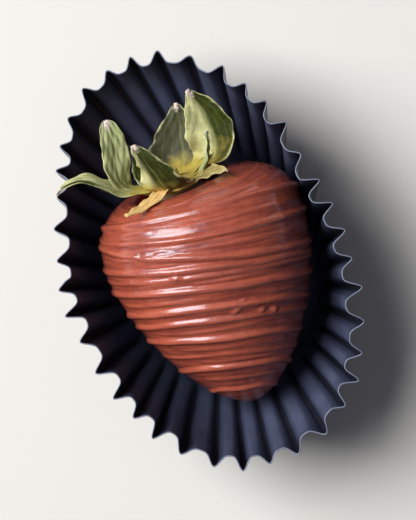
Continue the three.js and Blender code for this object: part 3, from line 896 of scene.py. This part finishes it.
# Short strokes where a thread began, broke or dripped. Each goes from one place to another,
# given as degrees round the berry and mm along the skin, and then how thick it is.
STROKES = [
    ((152, 15.6), (112, 14.0), 0.45),
    ((100, 15.4), (58, 14.2), 0.45),
    ((78, 18.0), (34, 17.2), 0.35),
    ((125, 28.6), (109, 28.8), 0.6),
    ((112, 34.0), (108, 34.0), 1.0),
    ((85, 43.4), (77, 40.8), 0.9),
    ((68, 43.6), (66, 43.7), 1.1),
    ((60, 44.1), (57, 44.2), 1.4),
    ((160, 24.2), (120, 23.6), 0.35),
    ((70, 22.4), (30, 23.0), 0.35),
    ((150, 29.6), (118, 28.6), 0.3),
    ((88, 28.0), (35, 28.6), 0.4),
    ((100, 35.6), (55, 35.4), 0.3),
    ((158, 40.4), (96, 39.2), 0.4),
    ((62, 39.6), (30, 40.4), 0.3),
    ((140, 47.4), (70, 46.8), 0.35),
    ((130, 52.0), (50, 51.6), 0.3),
    ((120, 55.8), (60, 55.4), 0.3),
    ((130, 61.4), (55, 60.8), 0.4),
]
STROKE = SimpleNamespace(steps=40, bow=0.12 * MM, bow_from=12, taper=0.1)
print(f"{len(THREADS)} threads and {len(STROKES)} strokes")

# %% Lines of the threads


def round_the_berry(values, angle):
    """A number given at the left, on top and at the right, carried smoothly round the berry."""
    left, top, right = values
    side = math.radians(THREAD.side)
    tilt = (right - left) / (2 * math.cos(side))
    arch = (top - (left + right) / 2) / (1 - math.sin(side))
    return top - arch + tilt * np.cos(angle) + arch * np.sin(angle)


def thread_track(crossings, thicknesses, random):
    """Where one thread runs: angles, lengths along the skin and thicknesses."""
    angle = np.linspace(*THREAD.reach, 2 * COAT.segments) * math.pi
    waves = [(random.uniform(*THREAD.wave_size), random.integers(*THREAD.wave_rate),
              random.uniform(*THREAD.wave_phase)) for _ in range(THREAD.waves)]
    wander = sum(size * np.sin(rate * angle + phase) / rate ** 0.5 for size, rate, phase in waves)
    swell = sum(np.sin(rate * 2 * angle + 2 * phase) for _, rate, phase in waves) / len(waves)
    length = round_the_berry(crossings, angle) * MM + THREAD.wander * wander
    thick = np.maximum(round_the_berry(thicknesses, angle), THREAD.thinnest)
    thick = thick * (1 + THREAD.swell * swell)
    return angle, length, thick * smoothstep(np.sin(angle), THREAD.fade_to, THREAD.fade_from)


def stroke_track(start, end, thickness):
    """Where a short stroke runs. It tapers at both ends, and a long one bows a little."""
    share = np.linspace(0, 1, STROKE.steps)
    angle = np.radians(lerp(start[0], end[0], share))
    bow = STROKE.bow * np.sin(share * math.pi * 2)
    length = lerp(start[1], end[1], share) * MM + bow * (abs(start[0] - end[0]) > STROKE.bow_from)
    taper = np.sin(math.pi * lerp(STROKE.taper, 1 - STROKE.taper, share)) ** 0.5
    return angle, length, thickness * taper


tops = [float(round_the_berry(crossings, math.pi / 2).round(1)) for crossings, _ in THREADS]
print("the threads cross the top this far along the skin, mm:", tops)

# %% All lines in one mesh


def thread_lines():
    """All threads and strokes as lines on the skin. A weight says how thick each is there."""
    random = np.random.default_rng(THREAD.seed)
    tracks = [thread_track(crossings, thick, random) for crossings, thick in THREADS]
    tracks += [stroke_track(*stroke) for stroke in STROKES]
    points, edges, weights = [], [], []
    for angle, length, thick in tracks:
        kept = thick > 0
        line = placed(skin_point(length + slant(angle, length), angle, 0), COAT.foot)[kept]
        edges.extend((i, i + 1) for i in range(len(points), len(points) + len(line) - 1))
        points.extend(line)
        weights.extend(thick[kept])
    lines = new_piece("thread lines", points, [], edges=edges)
    point_values(lines, "weight", weights)
    return lines


lines = thread_lines()
print(f"the lines have {len(lines.data.vertices)} points")

# %% Drizzle tree


def drizzle_tree():
    """Lifts a surface into a soft half round wherever a line of the threads passes."""
    inputs = {
        "Geometry": "geometry", "Threads": "object", "Height": THREAD.height,
        "Half Width": THREAD.half_width, "Roundness": THREAD.roundness, "Narrows": THREAD.narrows,
        "Material": "material"}
    tree, given = new_tree("drizzle", "GeometryNodeTree", inputs, "Geometry")
    lines = shape_of(tree, given["Threads"])
    near = add(tree, "GeometryNodeProximity", {0: lines}, target_element="EDGES")
    nearest = add(tree, "GeometryNodeSampleNearest", {"Geometry": lines})
    at_line = add(tree, "GeometryNodeSampleIndex", {
        "Geometry": lines, "Value": read_value(tree, "weight"), "Index": nearest.outputs[0]})
    thick = Field(tree, at_line.outputs[0])
    reach = given["Half Width"] * (thick * given["Narrows"] + (1 - given["Narrows"]))
    off = Field(tree, near.outputs["Distance"]) / reach
    round_top = (1 - off * off).math("MAXIMUM", 0.0) ** given["Roundness"]
    drizzle = round_top * thick
    lifted = push_out(tree, given["Geometry"], drizzle * given["Height"])
    # The stored thread height also tints the threads lighter, partly as a painted highlight on their tops.
    finish_geometry(tree, store_value(tree, lifted, "drizzle", drizzle), given["Material"])
    return tree


drizzle = drizzle_tree()
print(f"{drizzle.name}: {len(drizzle.nodes)} nodes")

# %% Coat with its drizzle
coat = grown(shell, drizzle, {"Threads": lines, "Material": MILK_CHOCOLATE}, "coat")
bpy.data.objects.remove(lines)
report(coat)

# %% [markdown]
# ## The fruit
#
# The fruit fills the coat and shows only in the narrow ring between the leaves and the chocolate. A
# small ring of skin could stand for it, but from behind one would look past it into an empty shell,
# so it is built whole. It uses the berry's own skin, a little lower where it is bare and well below
# the chocolate elsewhere.

# %% Fruit
FRUIT = SimpleNamespace(
    bare_depth=0.35 * MM, bare_from=3 * MM, bare_to=1.4 * MM, gap=0.3 * MM,
    swell=0.12 * MM, swells=5, swell_from=5 * MM,
    starts=0.3 * MM, ends=2 * MM, neck_rings=36, body_rings=44, segments=150,
)


def fruit_ring(length):
    """One ring of the fruit: nearly as high as the coat where it is bare, and below it elsewhere."""
    dip = smoothstep(length, COAT.opening - FRUIT.bare_from, COAT.opening - FRUIT.bare_to)
    depth = lerp(FRUIT.bare_depth, COAT.thickness + FRUIT.gap, dip)
    angle = around(FRUIT.segments)
    swell = FRUIT.swell * np.sin(FRUIT.swells * angle + length / MM)
    swell = swell * smoothstep(length, 0, FRUIT.swell_from)
    floor = BERRY.foot + COAT.thickness + 2 * FRUIT.gap
    return placed(skin_point(length + slant(angle, length), angle, swell - depth), floor)


def fruit_shape():
    neck = np.linspace(FRUIT.starts, COAT.opening - FRUIT.bare_to, FRUIT.neck_rings)
    body = np.linspace(COAT.opening, SKIN_LENGTH - FRUIT.ends, FRUIT.body_rings)
    lengths = np.concatenate([neck, body])
    deep = COAT.thickness + FRUIT.gap
    start = placed(skin_point(0, 0, -FRUIT.bare_depth))
    end = placed(skin_point(SKIN_LENGTH, 0, -deep), BERRY.foot + deep)
    points, faces = closed_rings(start, np.array([fruit_ring(s) for s in lengths]), end)
    fruit = new_piece("fruit", points, faces, [STRAWBERRY_SKIN])
    from_stem = np.concatenate([[0], np.repeat(lengths, FRUIT.segments), [SKIN_LENGTH]])
    point_values(fruit, "from_stem", from_stem / MM)
    return fruit


fruit = fruit_shape()
report(fruit)

# %% [markdown]
# ## The seeds
#
# A strawberry carries its seeds on its skin, in rows. They could be placed one by one, but they
# repeat and keep a distance from each other, which is what Geometry Nodes do best. Only the bare
# ring has any that can be seen, so one small seed is scattered there, each copy lying flat on the
# skin with its point along the berry.

# %% One seed
SEED = SimpleNamespace(
    long=1.25 * MM, wide=0.8 * MM, thick=0.45 * MM, rings=7, sides=8,
    first_ring=0.06, pointed=0.75, full=0.8,
    nearest=5.6, farthest=7.9,      # mm from the stem
    apart=2.6 * MM, scatter=3,
    crowd=4e6,                      # most seeds in a square metre, before the near ones are dropped
)


def one_seed():
    """A flat drop with a pointed end."""
    share = np.linspace(SEED.first_ring, 1 - SEED.first_ring, SEED.rings)
    width = np.sin(math.pi * share ** SEED.pointed) ** SEED.full
    angle = around(SEED.sides)
    rings = np.array([np.stack([
        np.cos(angle) * SEED.wide / 2 * w,
        np.full(SEED.sides, (s - 0.5) * SEED.long),
        np.sin(angle) * SEED.thick / 2 * w], axis=1) for s, w in zip(share, width)])
    ends = np.array([[0, -SEED.long / 2, 0], [0, SEED.long / 2, 0]])
    return new_piece("one seed", *closed_rings(ends[0], rings, ends[1]))


seed_shape = one_seed()
report(seed_shape)

# %% Seeds on the bare ring


def seeds_tree():
    """Scatters seeds on the bare ring of the fruit, lying along the berry."""
    inputs = {"Geometry": "geometry", "Seed Shape": "object", "From": SEED.nearest,
              "To": SEED.farthest, "Apart": SEED.apart, "Seed": SEED.scatter, "Material": "material"}
    tree, given = new_tree("seeds", "GeometryNodeTree", inputs, "Geometry")
    from_stem = read_value(tree, "from_stem")
    bare = from_stem.math("GREATER_THAN", given["From"]) * from_stem.math("LESS_THAN", given["To"])
    spots = add(tree, "GeometryNodeDistributePointsOnFaces", {
        "Mesh": given["Geometry"], "Selection": bare, "Distance Min": given["Apart"],
        "Density Max": SEED.crowd, "Seed": given["Seed"]}, distribute_method="POISSON")
    along = add(tree, "FunctionNodeAlignRotationToVector", {
        "Rotation": spots.outputs["Rotation"], "Vector": tuple(AXIS)}, axis="Y", pivot_axis="Z")
    seeds = add(tree, "GeometryNodeInstanceOnPoints", {
        "Points": spots.outputs["Points"], "Instance": shape_of(tree, given["Seed Shape"]),
        "Rotation": along.outputs[0]})
    finish_geometry(tree, seeds.outputs[0], given["Material"])
    return tree


carrier = new_object("seed carrier", fruit.data.copy())
scatter = {"Seed Shape": seed_shape, "Material": SEED_SHELL}
seeds = grown(carrier, seeds_tree(), scatter, "seeds")
bpy.data.objects.remove(seed_shape)
report(seeds)

# %% [markdown]
# ## The leaves
#
# Nine leaves grow from a wide hub round the cut stem. Each starts in the hollow, climbs out of it
# and then goes its own way: some reach out low over the chocolate, some stand up, and the broad
# ones curl. Flat cut-outs bent with modifiers would do for one leaf, but nine would need nine sets
# of them. Here every leaf follows one rule, with its own numbers: its place round the stem, its
# size, its slope halfway and at the tip, its bend to one side and the twist of its blade. The blade
# is an arch that narrows to a point. It is channelled along its middle rib, it puckers, and its
# edge is ragged and ripples. So a leaf is a grid of points, with a front, a back and a band round
# the edge.

# %% Leaf sizes
LEAF = SimpleNamespace(
    thickness=0.42 * MM, edge_thickness=0.16 * MM, start=1.2 * MM, lift=1.8 * MM, base_tilt=12,
    channel=0.16, ripple=0.45 * MM, base_width=0.16, least_width=0.6 * MM,
    rises_from=0.18, rises_to=0.5, twists_from=0.2, twists_to=0.65, lag=0.05,
    rows=88, columns=32, rib_depth=0.14 * MM, rib_width=0.30 * MM,
    frill=0.38 * MM, pucker=0.16 * MM, teeth=0.035,
)


def leaf(at, length, width, middle, tip, bend, twist, point, shade,
         across=0.0, outer=0.0, margin=0.0, margin_from=-0.15, felt=0.0, back=0.8, dry=0.0,
         widest=1.0, cup=1.0):
    """One leaf. Angles are in degrees and sizes in mm; shade is 0 for dark and 1 for pale.

    At is its place round the stem. Middle and tip are its slopes there, and bend is how far it
    drifts to one side, as a share of its length. Point is how slender its ends are, widest moves its
    broadest place towards the tip, and cup deepens its channel. The others are for its colour: how
    shade changes across the blade and towards the tip, how pale its folded side is, on which side
    that lies and where it starts, how felted its front and its back are, and how dry it is.
    """
    return SimpleNamespace(at=at, length=length * MM, width=width * MM, middle=middle, tip=tip,
                           bend=bend, twist=twist, point=point, shade=shade, across=across,
                           outer=outer, margin=margin, margin_from=margin_from,
                           felt=felt, back=back, dry=dry, widest=widest, cup=cup)


LEAVES = [
    leaf(156, 26.0, 6.0, 45, -27, 0.02, 30, 0.9, shade=1.10, across=0.10, outer=-1.0,
         margin=1.0),
    leaf(172, 23.7, 6.2, 101, 86, 0.05, 75, 0.4, shade=1.10, across=0.10, felt=0.1, widest=1.7),
    leaf(100, 14.5, 4.2, -14, 8, 0.56, 0, 0.7, shade=0.55, dry=0.9),
    leaf(96, 19.6, 10.4, 66, 84, 0.20, 32, 0.85, shade=-0.05, margin=0.85, margin_from=0.45,
         back=0.0, cup=1.4),
    leaf(38, 13.5, 4.8, 12, -10, 0.02, -14, 0.9, shade=0.60, back=0.2, dry=0.3),
    leaf(20, 14.0, 5.0, 62, 96, -0.10, -25, 0.9, shade=0.90, back=0.0),
    leaf(338, 25.0, 11.0, 95, 117, 0.03, -50, 0.8, shade=0.12, across=-0.30, margin=-0.9, widest=1.35,
         margin_from=0.05, cup=1.7),
    leaf(288, 20.4, 14.6, 78, 94, 0.08, 0, 0.85, shade=0.20, felt=0.9, cup=2.0),
    leaf(226, 12.5, 7.0, 62, 92, 0.06, 20, 0.9, shade=0.25),
]
print("leaves, mm long:", [round(leaf.length / MM, 1) for leaf in LEAVES])

# %% The middle line of a leaf and its width


def leaf_slope(leaf, share):
    """Slope of a leaf at a share of its length, in radians: the hollow, its middle, its tip."""
    to_middle = (leaf.middle - LEAF.base_tilt) * smoothstep(share, LEAF.rises_from, LEAF.rises_to)
    to_tip = (leaf.tip - leaf.middle) * smoothstep(share, LEAF.rises_to, 1)
    return np.radians(LEAF.base_tilt + to_middle + to_tip)


def middle_line(leaf, share):
    """How far out from the stem the middle of a leaf runs, and how high above the hollow."""
    step = leaf.length / (LEAF.rows - 1)
    slope = leaf_slope(leaf, share - LEAF.lag)[:-1]
    out = LEAF.start + np.concatenate([[0], np.cumsum(step * np.cos(slope))])
    height = LEAF.lift + np.concatenate([[0], np.cumsum(step * np.sin(slope))])
    return out, height


def half_width(leaf, index, share):
    """Half the width of a blade, along its length. The teeth of its edge differ in each leaf."""
    arch = np.sin(math.pi * lerp(LEAF.base_width, 1, share ** leaf.widest)).clip(0) ** leaf.point
    teeth = np.sin(31 * share + 2.1 * index) + np.sin(53 * share + index)
    return np.maximum(leaf.width * arch, LEAF.least_width) / 2 * (1 + LEAF.teeth * teeth * share)


ends = [middle_line(leaf, np.linspace(0, 1, LEAF.rows)) for leaf in LEAVES]
print("how far out the leaves end, mm:", [round(out[-1] / MM, 1) for out, _ in ends])

# %% Relief and marks of a leaf


def leaf_relief(leaf, index, share, side, half):
    """How far the points of a blade stand off its flat middle surface. It differs in each leaf."""
    channel = LEAF.channel * leaf.cup * half * side ** 2
    ripple = LEAF.ripple * share * side * np.sin(5 * share + 2 * index)
    rib = np.exp(-(side * half / LEAF.rib_width) ** 2) * (1 - share ** 3)
    frill = LEAF.frill * share * side ** 4 * np.sin(27 * share + 1.7 * side + index)
    pucker = (np.sin(17 * share + 3 * side + index) * np.sin(8.2 * side + 5 * share)
              + 0.6 * np.sin(31 * share - 4 * side) * np.sin(11 * side + index))
    fine = frill + LEAF.pucker * pucker * smoothstep(share, 0.1, 0.3) - LEAF.rib_depth * rib
    return channel + ripple + fine


def leaf_marks(leaf, share, side):
    """The numbers that the leaf's material reads at each point of the blade."""
    from_fold = side * np.sign(leaf.margin) - leaf.margin_from
    folded = smoothstep(from_fold, -0.25, 0.25) * smoothstep(share, 0.2, 0.4)
    marks = {
        "along": share, "side": side,
        "shade": leaf.shade + leaf.across * side + leaf.outer * smoothstep(share, 0.55, 0.85),
        "margin": folded * abs(leaf.margin), "felt": leaf.felt, "dry": leaf.dry}
    return {name: value + 0 * share * side for name, value in marks.items()}


print("a leaf's mesh carries:", ", ".join(leaf_marks(LEAVES[0], 0, 0)))

# %% Leaf blades


def turned(start, towards, angle):
    return start * np.cos(angle)[..., None] + towards * np.sin(angle)[..., None]


def leaf_blade(leaf, index):
    """The middle surface of a leaf as rows of points, with its marks."""
    share = np.linspace(0, 1, LEAF.rows)
    side = np.linspace(-1, 1, LEAF.columns + 1)
    at = math.radians(leaf.at)
    outwards = np.array([math.cos(at), math.sin(at), 0])
    sideways = np.array([-math.sin(at), math.cos(at), 0])
    upwards = np.array([0, 0, 1.0])
    normal = turned(upwards[None], outwards[None], -leaf_slope(leaf, share))
    twist = np.radians(leaf.twist) * smoothstep(share, LEAF.twists_from, LEAF.twists_to)
    blade = turned(np.broadcast_to(sideways, normal.shape), normal, twist)
    face = turned(normal, sideways[None], -twist)
    out, height = middle_line(leaf, share)
    bend = leaf.bend * leaf.length * share ** 2
    middle = (np.array([BERRY.leaf_offset, 0, 0]) + out[:, None] * outwards
              + height[:, None] * upwards + bend[:, None] * sideways)
    half = half_width(leaf, index, share)[:, None]
    relief = leaf_relief(leaf, index, share[:, None], side, half)
    points = (middle[:, None] + (side * half)[..., None] * blade[:, None]
              + relief[..., None] * face[:, None])
    return points, leaf_marks(leaf, share[:, None], side)


rows, columns = leaf_blade(LEAVES[0], 0)[0].shape[:2]
print(f"a blade is a grid of {rows} by {columns} points")

# %% Leaves with a front and a back


def leaf_solid(leaf, index):
    """A closed thin leaf: a front, a back, and a band that joins them round the edge."""
    middle, marks = leaf_blade(leaf, index)
    normal = np.cross(np.gradient(middle, axis=0), np.gradient(middle, axis=1))
    normal = normal / np.linalg.norm(normal, axis=-1, keepdims=True)
    thin = np.abs(marks["side"]) ** 3
    half = lerp(LEAF.thickness, LEAF.edge_thickness, thin)[..., None] / 2
    rows, columns = middle.shape[:2]
    points = placed(np.concatenate([middle + normal * half, middle - normal * half]).reshape(-1, 3))
    back = rows * columns
    at = np.arange(back).reshape(rows, columns)
    quads = np.stack([at[:-1, :-1], at[:-1, 1:], at[1:, 1:], at[1:, :-1]], axis=-1).reshape(-1, 4)
    rim = np.concatenate([at[0, :-1], at[:-1, -1], at[-1, :0:-1], at[:0:-1, 0]])
    band = np.stack([rim, rim + back, np.roll(rim, -1) + back, np.roll(rim, -1)], axis=-1)
    faces = np.concatenate([quads, quads[:, ::-1] + back, band])
    faces = outward(points, [tuple(face) for face in faces.tolist()])
    marks = {name: np.tile(value.ravel(), 2) for name, value in marks.items()}
    marks["felt"][back:] = leaf.back
    return points, faces, marks


blades = [leaf_solid(leaf, i) for i, leaf in enumerate(LEAVES)]
print("faces of one leaf:", len(blades[0][1]))

# %% [markdown]
# ## The stem and the hub
#
# Under the leaves lies a wide flat hub, from which they grow, and in its middle stands what is left
# of the stem, cut off short. A disc with a rod on it could stand for them, but nothing that grew has
# such steps. So one outline runs over both and is turned round the berry's axis, with shallow folds
# in the hub where the leaves leave it. Both are joined to the leaves, because they are one plant,
# and carry the same numbers for the leaves' material.

# %% Stem and hub
STEM = SimpleNamespace(
    radius=1.5 * MM, height=5.4 * MM, hub_radius=7.0 * MM, hub_bottom=-0.05 * MM,
    hub_edge=2.2 * MM, hub_top=2.75 * MM, flare=0.7 * MM, sides=64, rings=40,
    folds=9, fold=0.05, ridges=6, ridge=0.04,
)


def stem_profile():
    """Radius and height in equal steps, from under the hub round its edge and up to the cut."""
    corners = np.array([
        [0.2 * MM, STEM.hub_bottom], [STEM.hub_radius * 0.94, STEM.hub_edge - 0.1 * MM],
        [STEM.hub_radius, STEM.hub_edge + 0.1 * MM], [STEM.hub_radius * 0.84, STEM.hub_top],
        [STEM.radius * 1.25, STEM.hub_top + STEM.flare], [STEM.radius, STEM.height * 0.72],
        [STEM.radius * 0.97, STEM.height - 0.12 * MM], [STEM.radius * 0.9, STEM.height],
        [0.2 * MM, STEM.height - 0.1 * MM]])
    reach = np.concatenate([[0], np.cumsum(np.hypot(*np.diff(corners, axis=0).T))])
    at = np.linspace(0, 1, STEM.rings) * reach[-1]
    return np.interp(at, reach, corners[:, 0]), np.interp(at, reach, corners[:, 1])


def stem_solid():
    """The hub and the cut stem as one closed skin, with its marks. The cut itself is dry."""
    radius, height = stem_profile()
    angle = around(STEM.sides)
    to_edge = smoothstep(radius, STEM.radius, STEM.hub_radius)[:, None]
    folds = 1 + STEM.fold * np.sin(STEM.folds * angle + 0.6) * to_edge
    wide = radius[:, None] * folds * (1 + STEM.ridge * np.sin(STEM.ridges * angle))
    rings = np.stack([BERRY.leaf_offset + wide * np.cos(angle), wide * np.sin(angle),
                      height[:, None] + 0 * wide], axis=-1)
    ends = np.array([[BERRY.leaf_offset, 0, height[0]], [BERRY.leaf_offset, 0, height[-1]]])
    points, faces = closed_rings(placed(ends[0]), placed(rings), placed(ends[1]))
    cut = np.repeat(smoothstep(np.linspace(0, 1, STEM.rings), 0.93, 0.97), STEM.sides)
    marks = {"along": 0.22, "side": 0.3, "shade": 0.6, "margin": 0.0, "felt": 0.0,
             "dry": 0.35 + 0.3 * np.concatenate([[0], cut, [1]])}
    return points, faces, {name: value + np.zeros(len(points)) for name, value in marks.items()}


stem = stem_solid()
print("faces of the stem and hub:", len(stem[1]))

# %% All green parts in one piece


def green_parts():
    """Joins the stem and the leaves, which grow together, into one mesh."""
    points, faces, marks = [], [], []
    for solid in [stem, *blades]:
        start = sum(len(p) for p in points)
        points.append(solid[0])
        faces.extend(tuple(corner + start for corner in face) for face in solid[1])
        marks.append(solid[2])
    piece = new_piece("leaves", np.concatenate(points), faces, [STRAWBERRY_LEAF])
    for name in marks[0]:
        point_values(piece, name, np.concatenate([m[name] for m in marks]))
    return piece


leaves = green_parts()
report(leaves)

# %% [markdown]
# ## The paper case
#
# A sweet's paper case is one round of paper pressed into flutes between two dies, then pulled open
# into an oval by what lies in it. It could be modelled by folding a circle, but its shape follows a
# simple rule: the wall runs from one outline to another, and a wave goes round it that grows from
# nothing at the floor to full depth at the rim. So a Geometry Nodes tree bends a plain grid. The
# grid's first direction goes round and its second runs from the middle of the floor to the rim, and
# the sizes of the wave are inputs of the tree. Where the wall leans out far, its flutes are pulled
# open and flatter. Two dents press the rim in, where a neighbour leaned on it.

# %% Case sizes
CASE = SimpleNamespace(
    paper=0.22 * MM, flutes=38, points_per_flute=16, wall_rows=44, floor_rows=8,
    wall=32 * MM, depth=3.3 * MM, sharpness=0.12, growth=0.7, uneven=0.2, opened=0.3,
    rim_wave=0.45 * MM, opens_from=5 * MM, opens_to=19 * MM, belly=0.75,
    crinkle=0.22 * MM, crinkle_size=3.2 * MM, jitter=0.10, outline_points=720, seam=0.002 * MM,
    jitter_rate=1.37, uneven_rate=2.4, rim_rate=1.7,    # radians that each flute adds
)
BASE_OVAL = SimpleNamespace(long=46 * MM, wide=41 * MM, turn=20, x=1.2 * MM, y=1.2 * MM, power=2)
RIM_OVAL = SimpleNamespace(long=84.5 * MM, wide=54.4 * MM, turn=23.4, x=-2.5 * MM, y=4.2 * MM, power=2.2)
DENTS = [(50, 1.2 * MM, 13), (150, 3.2 * MM, 26)]     # degrees round from +X, depth, width in degrees


def signed_power(value, power):
    return np.sign(value) * np.abs(value) ** power


def outline(name, oval):
    """A closed curve round an oval, which the tree then walks in equal steps."""
    angle = around(CASE.outline_points)
    across = oval.wide / 2 * signed_power(np.cos(angle), 2 / oval.power)
    along = oval.long / 2 * signed_power(np.sin(angle), 2 / oval.power)
    turn = math.radians(oval.turn)
    x = oval.x + across * math.cos(turn) - along * math.sin(turn)
    y = oval.y + across * math.sin(turn) + along * math.cos(turn)
    curve = bpy.data.curves.new(name, "CURVE")
    curve.dimensions = "3D"
    spline = curve.splines.new("POLY")
    spline.points.add(len(angle) - 1)
    spline.points.foreach_set("co", np.stack([x, y, 0 * x, 1 + 0 * x], axis=1).ravel())
    spline.use_cyclic_u = True
    return new_object(name, curve)


floor_line = outline("floor line", BASE_OVAL)
rim_line = outline("rim line", RIM_OVAL)
round_rim = sum(spline.calc_length() for spline in rim_line.data.splines)
print(f"once round the rim: {round_rim / MM:.0f} mm, or {round_rim / MM / CASE.flutes:.1f} a flute")

# %% Grid and outlines


def case_grid(tree, given):
    """A flat grid, and for its points: the share round the case, over the floor and up the wall."""
    rows = given["Floor Rows"] + given["Wall Rows"]
    grid = add(tree, "GeometryNodeMeshGrid", {
        "Vertices X": given["Flutes"] * given["Points Per Flute"] + 1, "Vertices Y": rows + 1})
    round_share, row_share, _ = parts_of(tree, grid.outputs["UV Map"])
    row = row_share * rows
    on_floor = (row / given["Floor Rows"]).math("MINIMUM", 1.0)
    on_wall = ((row - given["Floor Rows"]) / given["Wall Rows"]).math("MAXIMUM", 0.0)
    return grid.outputs["Mesh"], round_share, on_floor, on_wall


def walk(tree, line, share):
    """Where a share of the way round a line is, and which way is out of it: x, y, out x, out y."""
    sample = add(tree, "GeometryNodeSampleCurve", {
        "Curves": shape_of(tree, line), "Factor": share}, mode="FACTOR")
    x, y, _ = parts_of(tree, sample.outputs["Position"])
    forward_x, forward_y, _ = parts_of(tree, sample.outputs["Tangent"])
    return x, y, forward_y, forward_x * -1


def distance(x, y):
    return (x * x + y * y) ** 0.5


# %% Flutes, dents and crinkles


def seamless(phase, flutes, rate):
    """An uneven wave round the case that meets itself where the last flute joins the first."""
    wave = (phase * rate).math("SINE")
    again = ((phase - flutes) * rate).math("SINE")
    return mix(wave, again, (phase - flutes).smooth(-2.0, 0.0))


def flutes_of(given, phase, share, spread):
    """The wave of the flutes, and how deep it is: deepest at the rim, flatter where pulled open."""
    turn = (phase + seamless(phase, given["Flutes"], CASE.jitter_rate) * CASE.jitter) * FULL_TURN
    wave = turn.math("COSINE") * 0.5 + (turn * 2).math("COSINE") * given["Sharpness"]
    uneven = seamless(phase, given["Flutes"], CASE.uneven_rate) * given["Uneven"] + 1
    opened = 1 - given["Opened"] * spread.smooth(CASE.opens_from, CASE.opens_to)
    return wave, given["Depth"] * uneven * opened * share ** given["Growth"]


def dents_of(rim_x, rim_y):
    """How far the rim is pressed in, by the direction in which it lies from the origin."""
    facing = rim_y.math("ARCTAN2", rim_x) * (360 / FULL_TURN)
    dent = 0
    for at, deep, width in DENTS:
        away = (facing - at) / width
        dent = (away * away * -1).math("EXPONENT") * deep + dent
    return dent


def crinkled(tree, geometry, given, share):
    """Joins the two ends of the grid, and makes the paper of the wall softly uneven."""
    closed = add(tree, "GeometryNodeMergeByDistance", {"Geometry": geometry, "Distance": CASE.seam})
    soft = noise(tree, None, 1 / CASE.crinkle_size, 2.0) - 0.5
    return push_out(tree, closed.outputs[0], soft * given["Crinkle"] * share.smooth(0, 0.3))


# %% Case tree


def case_tree():
    """Bends a flat grid into a fluted case, between a line round its floor and one at its rim."""
    inputs = {
        "Floor Line": "object", "Rim Line": "object", "Flutes": CASE.flutes,
        "Points Per Flute": CASE.points_per_flute, "Wall Rows": CASE.wall_rows,
        "Floor Rows": CASE.floor_rows, "Wall": CASE.wall, "Depth": CASE.depth,
        "Sharpness": CASE.sharpness, "Growth": CASE.growth, "Uneven": CASE.uneven,
        "Opened": CASE.opened, "Rim Wave": CASE.rim_wave, "Belly": CASE.belly,
        "Crinkle": CASE.crinkle, "Material": "material"}
    tree, given = new_tree("fluted case", "GeometryNodeTree", inputs, "Geometry")
    grid, round_share, on_floor, share = case_grid(tree, given)
    base_x, base_y, base_out_x, base_out_y = walk(tree, given["Floor Line"], round_share)
    rim_x, rim_y, rim_out_x, rim_out_y = walk(tree, given["Rim Line"], round_share)
    out_x, out_y = mix(base_out_x, rim_out_x, share), mix(base_out_y, rim_out_y, share)
    out_length = distance(out_x, out_y)
    spread = distance(rim_x - base_x, rim_y - base_y)

    phase = round_share * given["Flutes"]
    wave, depth = flutes_of(given, phase, share, spread)
    push = depth * wave - dents_of(rim_x, rim_y) * share * share
    swelling = share + given["Belly"] * share * (1 - share)
    x = (mix(base_x, rim_x, swelling) + out_x / out_length * push) * on_floor
    y = (mix(base_y, rim_y, swelling) + out_y / out_length * push) * on_floor
    rise = share * (given["Wall"] * given["Wall"] - spread * spread) ** 0.5
    z = rise + seamless(phase, given["Flutes"], CASE.rim_rate) * given["Rim Wave"] * share

    place = add(tree, "ShaderNodeCombineXYZ", {0: x, 1: y, 2: z})
    bent = add(tree, "GeometryNodeSetPosition", {"Geometry": grid, "Position": place.outputs[0]})
    marked = store_value(tree, bent.outputs[0], "share", share)
    # The fold mark also paints the paper paler on the ridges and darker in the furrows, as painted light and
    # shade.
    marked = store_value(tree, marked, "fold", wave * share.smooth(0, 0.2))
    finish_geometry(tree, crinkled(tree, marked, given, share), given["Material"])
    return tree


fluted_case = case_tree()
print(f"{fluted_case.name}: {len(fluted_case.nodes)} nodes")

# %% Case
case = grown(new_piece("flat grid", [(0, 0, 0)], []), fluted_case, {
    "Floor Line": floor_line, "Rim Line": rim_line, "Material": WAXED_PAPER}, "case")
bpy.data.objects.remove(floor_line)
bpy.data.objects.remove(rim_line)
print("the floor of the case faces down:", case.data.polygons[0].normal.z < 0)
sheet = case.modifiers.new("paper", "SOLIDIFY")
sheet.thickness = CASE.paper
sheet.offset = -1
report(case)

# %% [markdown]
# ## Floor
#
# A plain pale floor shows the case's outline and gives a little light back to its outside. A curved
# backdrop could do the same, but from above only its flat part would be seen. The floor isn't part
# of the object, and lies a hair below it so that the two don't touch.

# %% Floor
FLOOR_COLOUR = (0.700, 0.635, 0.565)
FLOOR_REACH = 2
FLOOR_BELOW = 0.02 * MM
material, _, _ = new_material("pale floor", {
    "Base Color": (*FLOOR_COLOUR, 1), "Roughness": 0.9, "Specular IOR Level": 0.1})
corners = [(x * FLOOR_REACH, y * FLOOR_REACH, -FLOOR_BELOW) for x, y in ((-1, -1), (1, -1), (1, 1), (-1, 1))]
floor = new_piece("floor", corners, [(0, 1, 2, 3)], [material])
report(floor)

# %% [markdown]
# ## Handing the pieces to the frame
#
# Each piece rides on the part's one body and stands for the solid that it was made from, which is
# hidden. Each row also gives a slot for its finish, which is not used here. The seeds belong to the
# fruit, so both stand for the same solid.

# %% Pieces
PIECES = [
    (case, "paper_case", "case_paper"),
    (coat, "chocolate_coat", "milk_chocolate"),
    (fruit, "strawberry", "strawberry_flesh"),
    (seeds, "strawberry", "strawberry_flesh"),
    (leaves, "calyx", "strawberry_leaf"),
]
for piece, node, slot in PIECES:
    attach(piece, "root")
    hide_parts(node)
